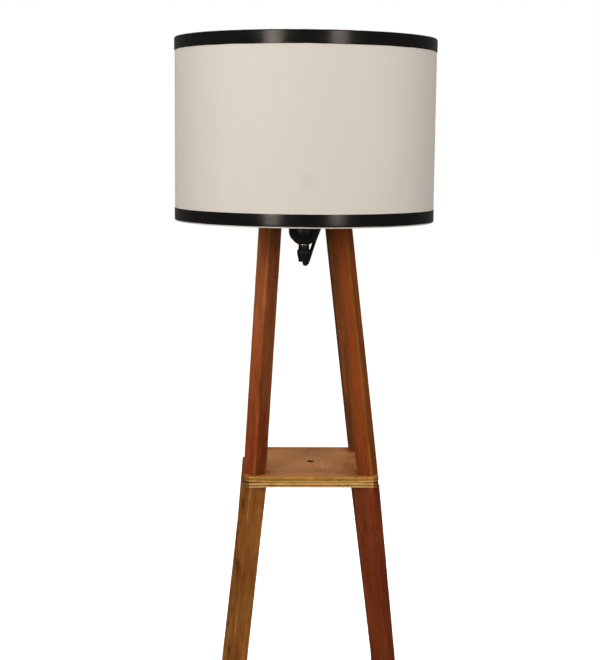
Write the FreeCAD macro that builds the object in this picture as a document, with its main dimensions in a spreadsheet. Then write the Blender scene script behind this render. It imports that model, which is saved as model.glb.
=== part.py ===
import FreeCAD, Part
import math
import os

import Sketcher
from FreeCAD import Placement, Rotation, Vector

# Shelf floor lamp. Millimetres, +Z up, the floor at Z = 0.
# The Z axis is the axis of the shade and of the lampholder. The front is -Y.
# Four square upper legs stand on a small plywood shelf and carry a top plate
# with the lampholder; four heavier legs carry the shelf. The legs splay, and
# each one is turned about its own length by its own angle, as a hand-built
# stand is.

doc = FreeCAD.newDocument("shelf_floor_lamp")

# --------------------------------------------------------------------------
# Driving dimensions
# --------------------------------------------------------------------------
DIMS = [
    # heights
    ("shade_base", 975.0),
    ("plate_under", 976.0),
    ("plate_thick", 12.0),
    ("shelf_top", 635.7),
    ("upper_board", 7.2),
    ("lower_board", 7.4),
    ("glide_height", 4.0),
    # shade
    ("shade_radius", 176.9),
    ("fabric_thick", 0.4),
    ("liner_thick", 0.8),
    ("shade_height", 244.4),
    ("tape_width", 17.2),
    ("top_tape_thick", 0.9),
    ("low_tape_thick", 0.5),
    ("low_tape_gap", 1.5),
    ("ring_wire", 2.5),
    ("arm_wire", 3.0),
    ("fitter_bore", 19.6),
    ("fitter_radius", 29.5),
    # stand
    ("upper_side", 22.3),
    ("lower_side", 25.4),
    ("arris", 0.8),
    ("plate_side", 130.0),
    ("board_side", 182.5),
    ("board_round", 8.0),
    ("board_x", 10.2),
    ("board_y", 0.5),
    ("board_turn", 1.8),
    ("shelf_hole", 4.5),
    ("shelf_hole_x", 12.1),
    ("shelf_hole_y", 1.2),
    # upper legs: axis at the plate and at the shelf, and turn about the length
    ("ufl_top_x", -45.1), ("ufl_top_y", -47.0), ("ufl_low_x", -63.9), ("ufl_low_y", -75.6), ("ufl_turn", 45.0),
    ("ufr_top_x", 49.6), ("ufr_top_y", -47.0), ("ufr_low_x", 89.7), ("ufr_low_y", -70.0), ("ufr_turn", 67.2),
    ("urr_top_x", 40.6), ("urr_top_y", 47.0), ("urr_low_x", 80.8), ("urr_low_y", 76.0), ("urr_turn", 8.0),
    ("url_top_x", -47.6), ("url_top_y", 47.0), ("url_low_x", -69.3), ("url_low_y", 76.0), ("url_turn", 8.0),
    # lower legs: axis at the shelf and at the foot
    ("lfl_top_x", -64.7), ("lfl_top_y", -76.0), ("lfl_low_x", -127.6), ("lfl_low_y", -140.8), ("lfl_turn", 32.6),
    ("lfr_top_x", 89.2), ("lfr_top_y", -74.0), ("lfr_low_x", 152.1), ("lfr_low_y", -138.8), ("lfr_turn", 65.3),
    ("lrr_top_x", 81.9), ("lrr_top_y", 76.0), ("lrr_low_x", 162.4), ("lrr_low_y", 140.8), ("lrr_turn", 8.0),
    ("lrl_top_x", -72.7), ("lrl_top_y", 76.0), ("lrl_low_x", -122.1), ("lrl_low_y", 140.8), ("lrl_turn", 8.0),
    # lampholder
    ("cap_radius", 21.0),
    ("skirt_radius", 19.0),
    ("skirt_bore", 14.0),
    ("plate_bore", 19.4),
    ("nut_radius", 26.5),
    ("grip_radius", 7.5),
    ("bulb_cap_radius", 13.2),
    # lead
    ("lead_radius", 2.5),
    ("coil_ring", 27.5),
    ("plug_pin", 2.0),
    ("plug_pitch", 19.0),
]
D = dict(DIMS)
sheet = doc.addObject("Spreadsheet::Sheet", "Dims")
for row, (word, number) in enumerate(DIMS, 1):
    sheet.set("A%d" % row, word)
    sheet.set("B%d" % row, str(number))
    sheet.setAlias("B%d" % row, word)
doc.recompute()

NODES = {}


def value(spec):
    """A number, an alias, or (alias, offset[, factor]) as a number."""
    if isinstance(spec, (int, float)):
        return float(spec)
    if isinstance(spec, str):
        return D[spec]
    factor = spec[2] if len(spec) > 2 else 1.0
    return D[spec[0]] * factor + spec[1]


def words(spec):
    """The same as an expression, or None for a plain number."""
    if isinstance(spec, (int, float)):
        return None
    if isinstance(spec, str):
        return "Dims." + spec
    factor = spec[2] if len(spec) > 2 else 1.0
    return "Dims.%s * %.6f + %.4f" % (spec[0], factor, spec[1])


def bind(obj, path, spec):
    if words(spec):
        obj.setExpression(path, words(spec))
    else:
        setattr_path(obj, path, float(spec))


def setattr_path(obj, path, number):
    if path.startswith("Placement.Base."):
        place = obj.Placement
        base = Vector(place.Base)
        setattr(base, path[-1], number)
        obj.Placement = Placement(base, place.Rotation)
    else:
        setattr(obj, path, number)


def keep(name, obj):
    obj.Label = name
    NODES[name] = obj
    return obj


def origin_plane(body, role):
    return [f for f in body.Origin.OriginFeatures if f.Role == role][0]


def new_body(name):
    return doc.addObject("PartDesign::Body", name)


def new_sketch(body, name, role, lift=None):
    sketch = body.newObject("Sketcher::SketchObject", name)
    sketch.AttachmentSupport = [(origin_plane(body, role), "")]
    sketch.MapMode = "FlatFace"
    if lift is not None:
        if words(lift):
            sketch.setExpression("AttachmentOffset.Base.z", words(lift))
        else:
            sketch.AttachmentOffset = Placement(Vector(0, 0, lift), Rotation())
    return sketch


def profile(sketch, points, arcs=None):
    """A closed outline through points (pairs of specs). arcs maps the number of
    a run to the point that it passes through on its way, as an arc."""
    arcs = arcs or {}
    p = [Vector(value(a), value(b), 0) for a, b in points]
    n = len(p)
    ends = []
    for i in range(n):
        a, b = p[i], p[(i + 1) % n]
        if i in arcs:
            mid = Vector(value(arcs[i][0]), value(arcs[i][1]), 0)
            # every arc is drawn anticlockwise, so its first end may be b
            left = (mid - a).cross(b - a).z < 0
            first = 2 if left else 1
            g = sketch.addGeometry(Part.Arc(b, mid, a) if left else Part.Arc(a, mid, b), False)
            ends.append((g, first, 3 - first))
        else:
            g = sketch.addGeometry(Part.LineSegment(a, b), False)
            ends.append((g, 1, 2))
    for i in range(n):
        g, _, end = ends[i]
        g2, start, _ = ends[(i + 1) % n]
        sketch.addConstraint(Sketcher.Constraint("Coincident", g, end, g2, start))
    for i, (a, b) in enumerate(points):
        g, start, _ = ends[i]
        for axis, spec, line in (("X", a, -2), ("Y", b, -1)):
            number = value(spec)
            if abs(number) < 1e-9 and not words(spec):
                sketch.addConstraint(Sketcher.Constraint("PointOnObject", g, start, line))
                continue
            c = sketch.addConstraint(Sketcher.Constraint("Distance" + axis, -1, 1, g, start, number))
            label = "p%d%s" % (i, axis.lower())
            sketch.renameConstraint(c, label)
            if words(spec):
                sketch.setExpression(".Constraints." + label, words(spec))
    for i in arcs:
        g = ends[i][0]
        if abs(sketch.Geometry[g].Center.x) < 0.02:
            # a ball end: its centre lies on the axis of turning
            sketch.addConstraint(Sketcher.Constraint("PointOnObject", g, 3, -2))
        else:
            sketch.addConstraint(Sketcher.Constraint("Radius", g, sketch.Geometry[g].Radius))


def turned(name, points, arcs=None, z=0.0, label=True):
    """A body turned about the vertical axis: points are (radius, height)."""
    body = new_body(name)
    sketch = new_sketch(body, name + "_profile", "XZ_Plane")
    profile(sketch, points, arcs)
    spin = body.newObject("PartDesign::Revolution", name + "_turn")
    spin.Profile = sketch
    spin.ReferenceAxis = (sketch, ["V_Axis"])
    spin.Angle = 360
    bind(body, "Placement.Base.z", z)
    if label:
        keep(name, body)
    return body


def rectangle(sketch, width, depth):
    w, d = value(width) / 2, value(depth) / 2
    p = [Vector(-w, -d, 0), Vector(w, -d, 0), Vector(w, d, 0), Vector(-w, d, 0)]
    for i in range(4):
        sketch.addGeometry(Part.LineSegment(p[i], p[(i + 1) % 4]), False)
    for i in range(4):
        sketch.addConstraint(Sketcher.Constraint("Coincident", i, 2, (i + 1) % 4, 1))
    for i in (0, 2):
        sketch.addConstraint(Sketcher.Constraint("Horizontal", i))
    for i in (1, 3):
        sketch.addConstraint(Sketcher.Constraint("Vertical", i))
    sketch.addConstraint(Sketcher.Constraint("Symmetric", 0, 1, 2, 1, -1, 1))
    for label, axis, g, spec in (("wide", "X", 0, width), ("deep", "Y", 1, depth)):
        c = sketch.addConstraint(Sketcher.Constraint("Distance" + axis, g, 1, g, 2, value(spec)))
        sketch.renameConstraint(c, label)
        if words(spec):
            sketch.setExpression(".Constraints." + label, words(spec))


def block(name, width, depth, height, corner=0.0, edge=0.0, lift=None):
    """A padded rectangle with rounded upright corners and softened rims."""
    body = new_body(name)
    sketch = new_sketch(body, name + "_outline", "XY_Plane", lift)
    rectangle(sketch, width, depth)
    pad = body.newObject("PartDesign::Pad", name + "_pad")
    pad.Profile = sketch
    bind(pad, "Length", height)
    doc.recompute()
    last = pad
    if value(corner):
        upright = [
            "Edge%d" % (i + 1)
            for i, e in enumerate(pad.Shape.Edges)
            if abs(e.Vertexes[0].Z - e.Vertexes[-1].Z) > 0.5
        ]
        last = body.newObject("PartDesign::Fillet", name + "_corners")
        last.Base = (pad, upright)
        bind(last, "Radius", corner)
        doc.recompute()
    if value(edge):
        before = last
        level = [
            "Edge%d" % (i + 1)
            for i, e in enumerate(before.Shape.Edges)
            if e.BoundBox.ZLength < 1e-4
        ]
        last = body.newObject("PartDesign::Fillet", name + "_rims")
        last.Base = (before, level)
        bind(last, "Radius", edge)
        doc.recompute()
    return body


def cylinder(name, radius, height, base=(0, 0, 0), rotation=None):
    c = doc.addObject("Part::Cylinder", name)
    bind(c, "Radius", radius)
    bind(c, "Height", height)
    c.Placement = Placement(Vector(0, 0, 0), rotation or Rotation())
    for axis, spec in zip("xyz", base):
        bind(c, "Placement.Base." + axis, spec)
    return c


def cone(name, r1, r2, height, base=(0, 0, 0), rotation=None):
    c = doc.addObject("Part::Cone", name)
    bind(c, "Radius1", r1)
    bind(c, "Radius2", r2)
    bind(c, "Height", height)
    c.Placement = Placement(Vector(0, 0, 0), rotation or Rotation())
    for axis, spec in zip("xyz", base):
        bind(c, "Placement.Base." + axis, spec)
    return c


def brick(name, length, width, height, base=(0, 0, 0)):
    b = doc.addObject("Part::Box", name)
    bind(b, "Length", length)
    bind(b, "Width", width)
    bind(b, "Height", height)
    for axis, spec in zip("xyz", base):
        bind(b, "Placement.Base." + axis, spec)
    return b


def fuse(name, *objects):
    f = doc.addObject("Part::MultiFuse", name)
    f.Shapes = list(objects)
    return f


def cut(name, base, *tools):
    c = doc.addObject("Part::Cut", name)
    c.Base = base
    if len(tools) == 1:
        c.Tool = tools[0]
    else:
        group = doc.addObject("Part::Compound", name + "_tools")
        group.Links = list(tools)
        c.Tool = group
    return c


def group(name, *objects):
    g = doc.addObject("Part::Compound", name)
    g.Links = list(objects)
    return keep(name, g)


def plain(name, shape):
    f = doc.addObject("Part::Feature", name)
    f.Shape = shape
    return f


# --------------------------------------------------------------------------
# Stand: legs
# --------------------------------------------------------------------------
def leg(name, key, side, low, high):
    """A square leg between two level planes, leaning along its own line."""
    body = new_body(name + "_stick")
    sketch = new_sketch(body, name + "_section", "XY_Plane")
    rectangle(sketch, side, side)
    pad = body.newObject("PartDesign::Pad", name + "_pad")
    pad.Profile = sketch
    pad.UseCustomVector = True
    pad.AlongSketchNormal = True
    tall = "(%s - %s)" % (words(high), words(low))
    pad.setExpression("Length", tall)
    dx = "(Dims.%s_top_x - Dims.%s_low_x)" % (key, key)
    dy = "(Dims.%s_top_y - Dims.%s_low_y)" % (key, key)
    turn = "Dims.%s_turn * 1deg" % key
    pad.setExpression("Direction.x", "%s * cos(%s) + %s * sin(%s)" % (dx, turn, dy, turn))
    pad.setExpression("Direction.y", "%s * cos(%s) - %s * sin(%s)" % (dy, turn, dx, turn))
    pad.setExpression("Direction.z", tall)
    doc.recompute()
    long_edges = [
        "Edge%d" % (i + 1)
        for i, e in enumerate(pad.Shape.Edges)
        if abs(e.Vertexes[0].Z - e.Vertexes[-1].Z) > 1
    ]
    soft = body.newObject("PartDesign::Fillet", name + "_arrises")
    soft.Base = (pad, long_edges)
    bind(soft, "Radius", "arris")
    body.Placement = Placement(Vector(0, 0, 0), Rotation(Vector(0, 0, 1), 1.0))
    body.setExpression("Placement.Base.x", "Dims.%s_low_x" % key)
    body.setExpression("Placement.Base.y", "Dims.%s_low_y" % key)
    body.setExpression("Placement.Base.z", words(low))
    body.setExpression("Placement.Rotation.Angle", "Dims.%s_turn" % key)
    return body


UPPER = [("front_left", "ufl"), ("front_right", "ufr"), ("rear_right", "urr"), ("rear_left", "url")]
LOWER = [("front_left", "lfl"), ("front_right", "lfr"), ("rear_right", "lrr"), ("rear_left", "lrl")]
board_under = ("shelf_top", -(D["upper_board"] + D["lower_board"]))
board_joint = ("shelf_top", -D["upper_board"])

upper_sticks = {n: leg("upper_leg_" + n, k, "upper_side", "shelf_top", "plate_under") for n, k in UPPER}
lower_sticks = {n: leg("lower_leg_" + n, k, "lower_side", "glide_height", board_under) for n, k in LOWER}


# --------------------------------------------------------------------------
# Stand: wood screws, countersunk, one in each leg end; the groups also cut
# their own pilot holes and countersinks in the wood
# --------------------------------------------------------------------------
def countersunk(name, x, y, z, reach, up, head=4.0, shank=2.0):
    """A screw whose flat head face is at z, pointing up or down."""
    turn = Rotation() if up else Rotation(Vector(1, 0, 0), 180)
    h = cone(name + "_head", head, shank, 2.4, (x, y, z), turn)
    s = cylinder(name + "_shank", shank, reach - 5.0, (x, y, z), turn)
    step = reach - 5.0
    tip = cone(name + "_tip", shank, 0.4, 5.0, (x, y, (z[0], z[1] + (step if up else -step)) if isinstance(z, tuple) else z + (step if up else -step)), turn)
    return fuse(name, h, s, tip)


plate_top = ("plate_under", D["plate_thick"])
top_plate_screws = group(
    "top_plate_screws",
    *[countersunk("plate_screw_" + n, k + "_top_x", k + "_top_y", plate_top, 36.0, False) for n, k in UPPER],
)
upper_leg_screws = group(
    "upper_leg_screws",
    *[countersunk("upper_screw_" + n, k + "_low_x", k + "_low_y", board_joint, 30.0, True) for n, k in UPPER],
)
lower_leg_screws = group(
    "lower_leg_screws",
    *[countersunk("lower_screw_" + n, k + "_top_x", k + "_top_y", board_joint, 32.0, False) for n, k in LOWER],
)


def pan_head(name, x, y, z, reach, head=3.4, shank=1.7, tall=2.0):
    """A pan-head screw from below: its head hangs under z."""
    h = cone(name + "_head", head * 0.86, head, tall, (x, y, (z[0], z[1] - tall)))
    s = cylinder(name + "_shank", shank, reach, (x, y, z))
    return fuse(name, h, s)


# four short screws from below hold the two boards together
turn = math.radians(D["board_turn"])
SPOTS = []
for u, v in ((-58.0, -4.0), (58.0, 5.0), (3.0, -60.0), (-4.0, 60.0)):
    SPOTS.append((
        ("board_x", u * math.cos(turn) - v * math.sin(turn)),
        ("board_y", u * math.sin(turn) + v * math.cos(turn)),
    ))
board_screws = group(
    "board_screws",
    *[pan_head("board_screw_%d" % i, x, y, board_under, 12.0) for i, (x, y) in enumerate(SPOTS)],
)

# --------------------------------------------------------------------------
# Stand: two plywood boards and the top plate
# --------------------------------------------------------------------------
bore_rod = cylinder("shelf_bore_rod", "shelf_hole", 40.0, ("shelf_hole_x", "shelf_hole_y", ("shelf_top", -30.0)))


def board(name, height, level):
    b = block(name + "_sheet", "board_side", "board_side", height, "board_round", 0.7)
    b.Placement = Placement(Vector(0, 0, 0), Rotation(Vector(0, 0, 1), 1.0))
    b.setExpression("Placement.Base.x", "Dims.board_x")
    b.setExpression("Placement.Base.y", "Dims.board_y")
    b.setExpression("Placement.Base.z", words(level))
    b.setExpression("Placement.Rotation.Angle", "Dims.board_turn")
    return b


keep("shelf_upper_board", cut("shelf_upper", board("shelf_upper_board", "upper_board", board_joint), upper_leg_screws, board_screws, bore_rod))
keep("shelf_lower_board", cut("shelf_lower", board("shelf_lower_board", "lower_board", board_under), lower_leg_screws, board_screws, bore_rod))

plate = block("top_plate_sheet", "plate_side", "plate_side", "plate_thick", 6.0, 0.7)
plate.setExpression("Placement.Base.z", "Dims.plate_under")
plate_rod = cylinder("plate_bore_rod", "plate_bore", 40.0, (0, 0, ("plate_under", -10.0)))
plate_bored = cut("top_plate_bored", plate, top_plate_screws, plate_rod)

# --------------------------------------------------------------------------
# Floor glides: a flat disc with a nail, one under each lower leg
# --------------------------------------------------------------------------
glides = []
for n, k in LOWER:
    disc = turned(
        "glide_" + n,
        [(0, 0), (8.0, 0), (10.0, 1.6), (10.0, "glide_height"), (0.9, "glide_height"), (0.9, 14.0), (0, 16.0)],
        label=False,
    )
    disc.setExpression("Placement.Base.x", "Dims.%s_low_x" % k)
    disc.setExpression("Placement.Base.y", "Dims.%s_low_y" % k)
    glides.append(disc)
floor_glides = group("floor_glides", *glides)

# --------------------------------------------------------------------------
# Lampholder, on the Z axis, up through the top plate
# --------------------------------------------------------------------------
B = D["shade_base"]


def at(height):
    """A height given from the shade's bottom edge, as a spec."""
    return ("shade_base", height)


# bowl-shaped cap under the plate; its collar takes the skirt's lower end
turned(
    "holder_cap",
    [
        (5.1, 0), (8.2, 0), (14.3, 4.6), ("cap_radius", 17.8), ("cap_radius", 33.8), (19.1, 33.8),
        (19.1, 20.5), (12.8, 8.2), (9.0, 4.4), (5.1, 4.4),
    ],
    arcs={1: (11.6, 1.9), 2: (19.3, 10.6)},
    z=at(-32.8),
)
# threaded nipple and its washer between the cap and the cord grip
turned("holder_nipple", [(3.6, 0), (5.0, 0), (5.0, 16.0), (3.6, 16.0)], z=at(-40.0))
turned("nipple_washer", [(5.1, 0), (8.0, 0), (8.0, 0.8), (5.1, 0.8)], z=at(-33.6))
turned("nipple_nut", [(5.1, 0), (8.2, 0), (8.2, 3.2), (5.1, 3.2)], z=at(-28.3))
# cord grip: a collar on the nipple and a squeezing nut with a belled mouth
turned(
    "cord_grip_collar",
    [(5.1, 0), ("grip_radius", 0), ("grip_radius", 6.0), (7.0, 6.4), (5.1, 6.4)],
    z=at(-40.0),
)
turned(
    "cord_grip_nut",
    [
        (0, 7.4), (2.7, 7.4), (3.1, 4.0), (5.6, 0), ("grip_radius", 0), ("grip_radius", 3.4),
        (8.9, 9.6), (9.3, 14.4), (8.6, 16.8), (0, 16.8),
    ],
    z=at(-56.8),
)
# skirt: outside thread for the ring nuts, inside thread for the bulb
turned(
    "holder_skirt",
    [
        ("skirt_bore", 0), ("skirt_radius", 0), ("skirt_radius", 62.0), (16.6, 62.0), (16.6, 58.0),
        ("skirt_bore", 55.0),
    ],
    z=at(-10.0),
)
turned(
    "holder_insulator",
    [(0, 0), (13.9, 0), (13.9, 12.0), (11.0, 12.0), (11.0, 8.0), (2.6, 8.0), (2.6, 2.0), (0, 2.0)],
    z=at(2.0),
)
turned("plate_ring_nut", [(19.1, 0), ("nut_radius", 0), ("nut_radius", 5.0), (25.5, 6.0), (19.1, 6.0)], z=at(13.0))
turned("shade_ring_nut", [(19.1, 0), ("nut_radius", 0), ("nut_radius", 6.0), (25.0, 7.0), (19.1, 7.0)], z=at(21.6))

# contacts: a side leaf standing on the insulator's rim and a sprung centre leaf
side_leaf = brick("side_leaf", 0.3, 3.0, 16.0, (13.4, -1.5, at(14.0)))
side_foot = brick("side_foot", 2.4, 3.0, 0.4, (11.2, -1.5, at(14.0)))
keep("side_contact", fuse("side_contact_fuse", side_leaf, side_foot))
centre_leaf = brick("centre_leaf", 15.0, 4.0, 0.5, (-9.0, -2.0, at(15.2)))
centre_drop = brick("centre_drop", 0.5, 4.0, 4.6, (-9.0, -2.0, at(10.9)))
centre_dot = cylinder("centre_dot", 2.2, 0.9, (0, 0, at(15.6)))
keep("centre_contact", fuse("centre_contact_fuse", centre_leaf, centre_drop, centre_dot))

# --------------------------------------------------------------------------
# Bulb
# --------------------------------------------------------------------------
# glass: neck, shoulder and globe
turned(
    "bulb_glass",
    [
        (11.8, 0), (13.0, 0), (13.6, 8.0), (27.1323, 42.2), (0, 85.0), (0, 83.8), (25.9938, 42.6), (12.6, 8.4),
    ],
    arcs={2: (18.6, 25.0), 3: (24.5796, 72.2), 5: (23.6746, 71.4), 6: (17.5, 25.4)},
    z=at(42.0),
)
turned(
    "bulb_cap",
    [(0, 3.0), (0, 2.2), (9.4, 2.2), (12.9, 5.4), ("bulb_cap_radius", 6.4), ("bulb_cap_radius", 24.2), (13.1, 25.2), (12.2, 25.2), (12.2, 6.2), (9.0, 3.0)],
    z=at(16.8),
)
turned("bulb_base_insulator", [(0, 0.8), (4.4, 0.8), (4.4, 0.2), (6.4, 0.2), (9.2, 2.2), (0, 2.2)], z=at(16.8))
turned("bulb_tip", [(0, 0), (3.2, 0), (4.2, 0.8), (0, 0.8)], z=at(16.8))

# --------------------------------------------------------------------------
# Shade: cloth on a liner, tape round both edges, wire rings and a spider
# --------------------------------------------------------------------------
liner_out = ("shade_radius", -D["fabric_thick"])
liner_in = ("shade_radius", -D["fabric_thick"] - D["liner_thick"])
turned("shade_fabric", [(liner_out, 0.9), ("shade_radius", 0.9), ("shade_radius", "shade_height"), (liner_out, "shade_height")], z="shade_base")
turned("shade_liner", [(liner_in, 0), (liner_out, 0), (liner_out, "shade_height"), (liner_in, "shade_height")], z="shade_base")
# the top tape is folded over the rim and down inside, behind the wire ring
top_out = ("shade_radius", D["top_tape_thick"])
turned(
    "shade_top_tape",
    [
        ("shade_radius", ("shade_height", -D["tape_width"])),
        (top_out, ("shade_height", -D["tape_width"])),
        (top_out, ("shade_height", 0.7)),
        (172.2, ("shade_height", 0.7)),
        (172.2, ("shade_height", -8.0)),
        (172.8, ("shade_height", -8.0)),
        (172.8, "shade_height"),
        ("shade_radius", "shade_height"),
    ],
    z="shade_base",
)
low_out = ("shade_radius", D["low_tape_thick"])
turned(
    "shade_bottom_tape",
    [
        ("shade_radius", "low_tape_gap"), (low_out, "low_tape_gap"),
        (low_out, ("low_tape_gap", D["tape_width"] - 1.0)), ("shade_radius", ("low_tape_gap", D["tape_width"] - 1.0)),
    ],
    z="shade_base",
)
ring_radius = D["shade_radius"] - D["fabric_thick"] - D["liner_thick"] - D["ring_wire"] / 2 - 0.05


def torus(name, radius1, radius2, z):
    t = doc.addObject("Part::Torus", name)
    t.Radius1 = radius1
    bind(t, "Radius2", radius2)
    bind(t, "Placement.Base.z", z)
    return t


keep("shade_top_ring", torus("shade_top_ring_wire", ring_radius, ("ring_wire", 0, 0.5), at(D["shade_height"] - 1.5)))
low_ring = torus("shade_low_ring_wire", ring_radius, ("ring_wire", 0, 0.5), at(1.6))
fitter = turned(
    "shade_fitter",
    [("fitter_bore", 0), ("fitter_radius", 0), ("fitter_radius", 2.0), ("fitter_bore", 2.0)],
    z=at(19.3),
    label=False,
)


def rod(a, b, radius):
    """A straight round rod between two points."""
    a, b = Vector(*a), Vector(*b)
    way = b - a
    return Part.makeCylinder(radius, way.Length, a, way)


arms = []
for i in range(3):
    ang = math.radians(90 + 120 * i)
    c, s = math.cos(ang), math.sin(ang)
    r = D["arm_wire"] / 2
    path = [(28.4, B + 20.6), (104.0, B + 21.0), (ring_radius, B + 2.0)]
    pts = [(q * c, q * s, z) for q, z in path]
    arm = rod(pts[0], pts[1], r).fuse(rod(pts[1], pts[2], r)).fuse(Part.makeSphere(r, Vector(*pts[1])))
    arms.append(plain("shade_arm_%d" % i, arm.removeSplitter()))
keep("shade_spider", fuse("shade_spider_frame", low_ring, fitter, *arms))


# --------------------------------------------------------------------------
# Lead: a round black flex. It leaves the cord grip, folds up tightly behind
# the cap, runs under the plate to the rear left leg and down it in clips,
# passes the shelf, reaches the floor, goes through a switch, and the rest is
# wound in a coil between the feet with the plug beside it.
# --------------------------------------------------------------------------
LINES = {}


def tube(name, route, radius):
    p = [Vector(*q) for q in route]
    n = len(p)
    edges, radii = [], []
    runs = [(p[i + 1] - p[i]).Length for i in range(n - 1)]
    here = p[0]
    for i in range(1, n - 1):
        a = (p[i] - p[i - 1]).normalize()
        b = (p[i + 1] - p[i]).normalize()
        half = a.getAngle(b) / 2
        back = 0.45 * min(runs[i - 1], runs[i])
        radii.append((round(back / math.tan(half), 1), round(math.degrees(2 * half), 1)))
        s, e = p[i] - a * back, p[i] + b * back
        way = (b - a).normalize()
        r = back / math.tan(half)
        centre = p[i] + way * (r / math.cos(half))
        m = centre - way * r
        edges.append(Part.LineSegment(here, s).toShape())
        edges.append(Part.Arc(s, m, e).toShape())
        here = e
    edges.append(Part.LineSegment(here, p[-1]).toShape())
    wire = Part.Wire(edges)
    ring = Part.Wire([Part.Circle(p[0], p[1] - p[0], radius).toShape()])
    solid = wire.makePipeShell([ring], True, False)
    LINES[name] = wire.discretize(Distance=0.5)
    want = math.pi * radius**2 * wire.Length
    print(
        "%s: %.1f mm, volume %.4f of the ideal, tightest %s, runs %.0f to %.0f"
        % (name, wire.Length, solid.Volume / want, sorted(radii)[:4], min(runs), max(runs))
    )
    return solid


def on_leg(key, low_spec, high_spec, side, z, gap=0.35):
    """The lead's middle at a height, against the rear face of a rear leg."""
    z0, z1 = value(low_spec), value(high_spec)
    f = (z - z0) / (z1 - z0)
    x = D[key + "_low_x"] + (D[key + "_top_x"] - D[key + "_low_x"]) * f
    y = D[key + "_low_y"] + (D[key + "_top_y"] - D[key + "_low_y"]) * f
    ang = math.radians(90 + D[key + "_turn"])
    off = value(side) / 2 + D["lead_radius"] + gap
    return (x + off * math.cos(ang), y + off * math.sin(ang), z)


def upper(z, side=0.0):
    x, y, z = on_leg("url", "shelf_top", "plate_under", "upper_side", z)
    return (x + side, y, z)


def lower(z, side=0.0):
    x, y, z = on_leg("lrl", "glide_height", board_under, "lower_side", z)
    return (x + side, y, z)


LEAD_A = [
    (0.0, 0.0, 925.6), (0.0, 0.0, 915.2), (5.7, 8.4, 915.0), (8.8, 11.2, 931.5), (13.2, 13.8, 946.0),
    (17.2, 18.6, 960.5), (19.8, 29.5, 969.3), (17.0, 43.0, 971.6), (8.0, 54.0, 972.4), (-8.0, 60.0, 972.6),
    (-27.0, 63.2, 970.0), (-42.4, 65.4, 961.5), (-50.0, 65.1, 946.0),
    upper(926.0), upper(890.0, 0.5), upper(836.0, -0.4), upper(775.0, 0.7), upper(718.0, -0.2), upper(676.0, 0.3),
    (-70.3, 95.6, 647.0), (-71.9, 97.9, 617.0), (-76.2, 95.2, 585.0),
    lower(540.0), lower(482.0, 0.8), lower(418.0, -0.5), lower(352.0, 0.6), lower(286.0, -0.4), lower(222.0, 0.5),
    lower(164.0, -0.3), lower(118.0, 0.2), lower(84.0),
    (-119.6, 151.0, 56.0), (-120.8, 157.0, 31.0), (-119.0, 165.0, 11.5), (-109.0, 171.6, 2.8),
    (-92.0, 174.2, 2.6), (-72.6, 170.4, 4.8), (-60.9, 161.7, 9.0), (-51.3, 154.5, 9.0),
]
# the last points climb to the mouth of the switch's strain relief
SWITCH = (-8.0, 122.3)
way = Vector(0.802, -0.597, 0).normalize()
TURN = math.degrees(math.atan2(way.y, way.x))


def beyond(reach, z=9.0):
    return (SWITCH[0] + way.x * reach, SWITCH[1] + way.y * reach, z)


LEAD_A[-1] = beyond(-54.0)
LEAD_A[-2] = beyond(-66.0)
LEAD_A[-3] = beyond(-80.5, 4.8)
COIL = (48.5, 20.0)
LEAD_B = [
    beyond(54.0), beyond(66.0), beyond(80.5, 4.8), (76.5, 60.0, 3.0), (83.3, 45.5, 2.8), (83.1, 30.0, 3.2),
]
LEAD_C = [
    (79.3, 13.5, 11.6), (78.3, 0.7, 11.4), (72.5, -17.0, 8.6), (61.5, -33.5, 5.0), (46.5, -47.0, 3.2),
    (29.0, -56.2, 3.6), (14.6, -61.2, 6.3), (3.0, -64.4, 6.3),
]
lead_r = D["lead_radius"]
keep("lead_stand_length", plain("lead_stand", tube("lead_stand_length", LEAD_A, lead_r)))
keep("lead_to_coil", plain("lead_coil_entry", tube("lead_to_coil", LEAD_B, lead_r)))
keep("lead_to_plug", plain("lead_plug_tail", tube("lead_to_plug", LEAD_C, lead_r)))
for label, route in (("A", LEAD_A), ("B", LEAD_B), ("C", LEAD_C)):
    print("route", label, [[round(q, 1) for q in r] for r in route])

# the coil's outer shape: eight turns side by side and on each other
coil = new_body("lead_coil_body")
coil_sketch = new_sketch(coil, "lead_coil_section", "XZ_Plane")
profile(
    coil_sketch,
    [
        (("coil_ring", -5.6), 0.5), (("coil_ring", 5.6), 0.5), (("coil_ring", 8.0), 2.9), (("coil_ring", 8.0), 11.8),
        (("coil_ring", 5.4), 14.5), (("coil_ring", -5.4), 14.5), (("coil_ring", -8.0), 11.8), (("coil_ring", -8.0), 2.9),
    ],
)
coil_spin = coil.newObject("PartDesign::Revolution", "lead_coil_turns")
coil_spin.Profile = coil_sketch
coil_spin.ReferenceAxis = (coil_sketch, ["V_Axis"])
coil_spin.Angle = 360
coil.Placement = Placement(Vector(COIL[0], COIL[1], 0), Rotation())
keep("lead_coil", coil)

# tie: a flat band round the bundle of turns, with a small lock
tie_out = brick("tie_out", 18.0, 6.0, 15.2, (COIL[0] - 9.0, COIL[1] + D["coil_ring"] - 3.0, 0.0))
tie_in = brick("tie_in", 16.8, 8.0, 14.4, (COIL[0] - 8.4, COIL[1] + D["coil_ring"] - 4.0, 0.4))
tie_lock = brick("tie_lock", 7.0, 5.6, 1.6, (COIL[0] - 5.0, COIL[1] + D["coil_ring"] - 2.8, 15.2))
for piece in (tie_out, tie_in, tie_lock):
    # the band crosses the ring of turns, so it is turned a quarter about its own middle
    piece.Placement = Placement(Vector(0, 0, 0), Rotation(Vector(0, 0, 1), 90), Vector(COIL[0], COIL[1] + D["coil_ring"], 0)).multiply(piece.Placement)
keep("coil_tie", fuse("coil_tie_fuse", cut("tie_band", tie_out, tie_in), tie_lock))

# --------------------------------------------------------------------------
# Saddle clips that hold the lead, and their nails
# --------------------------------------------------------------------------
clips, nails = [], []


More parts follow.
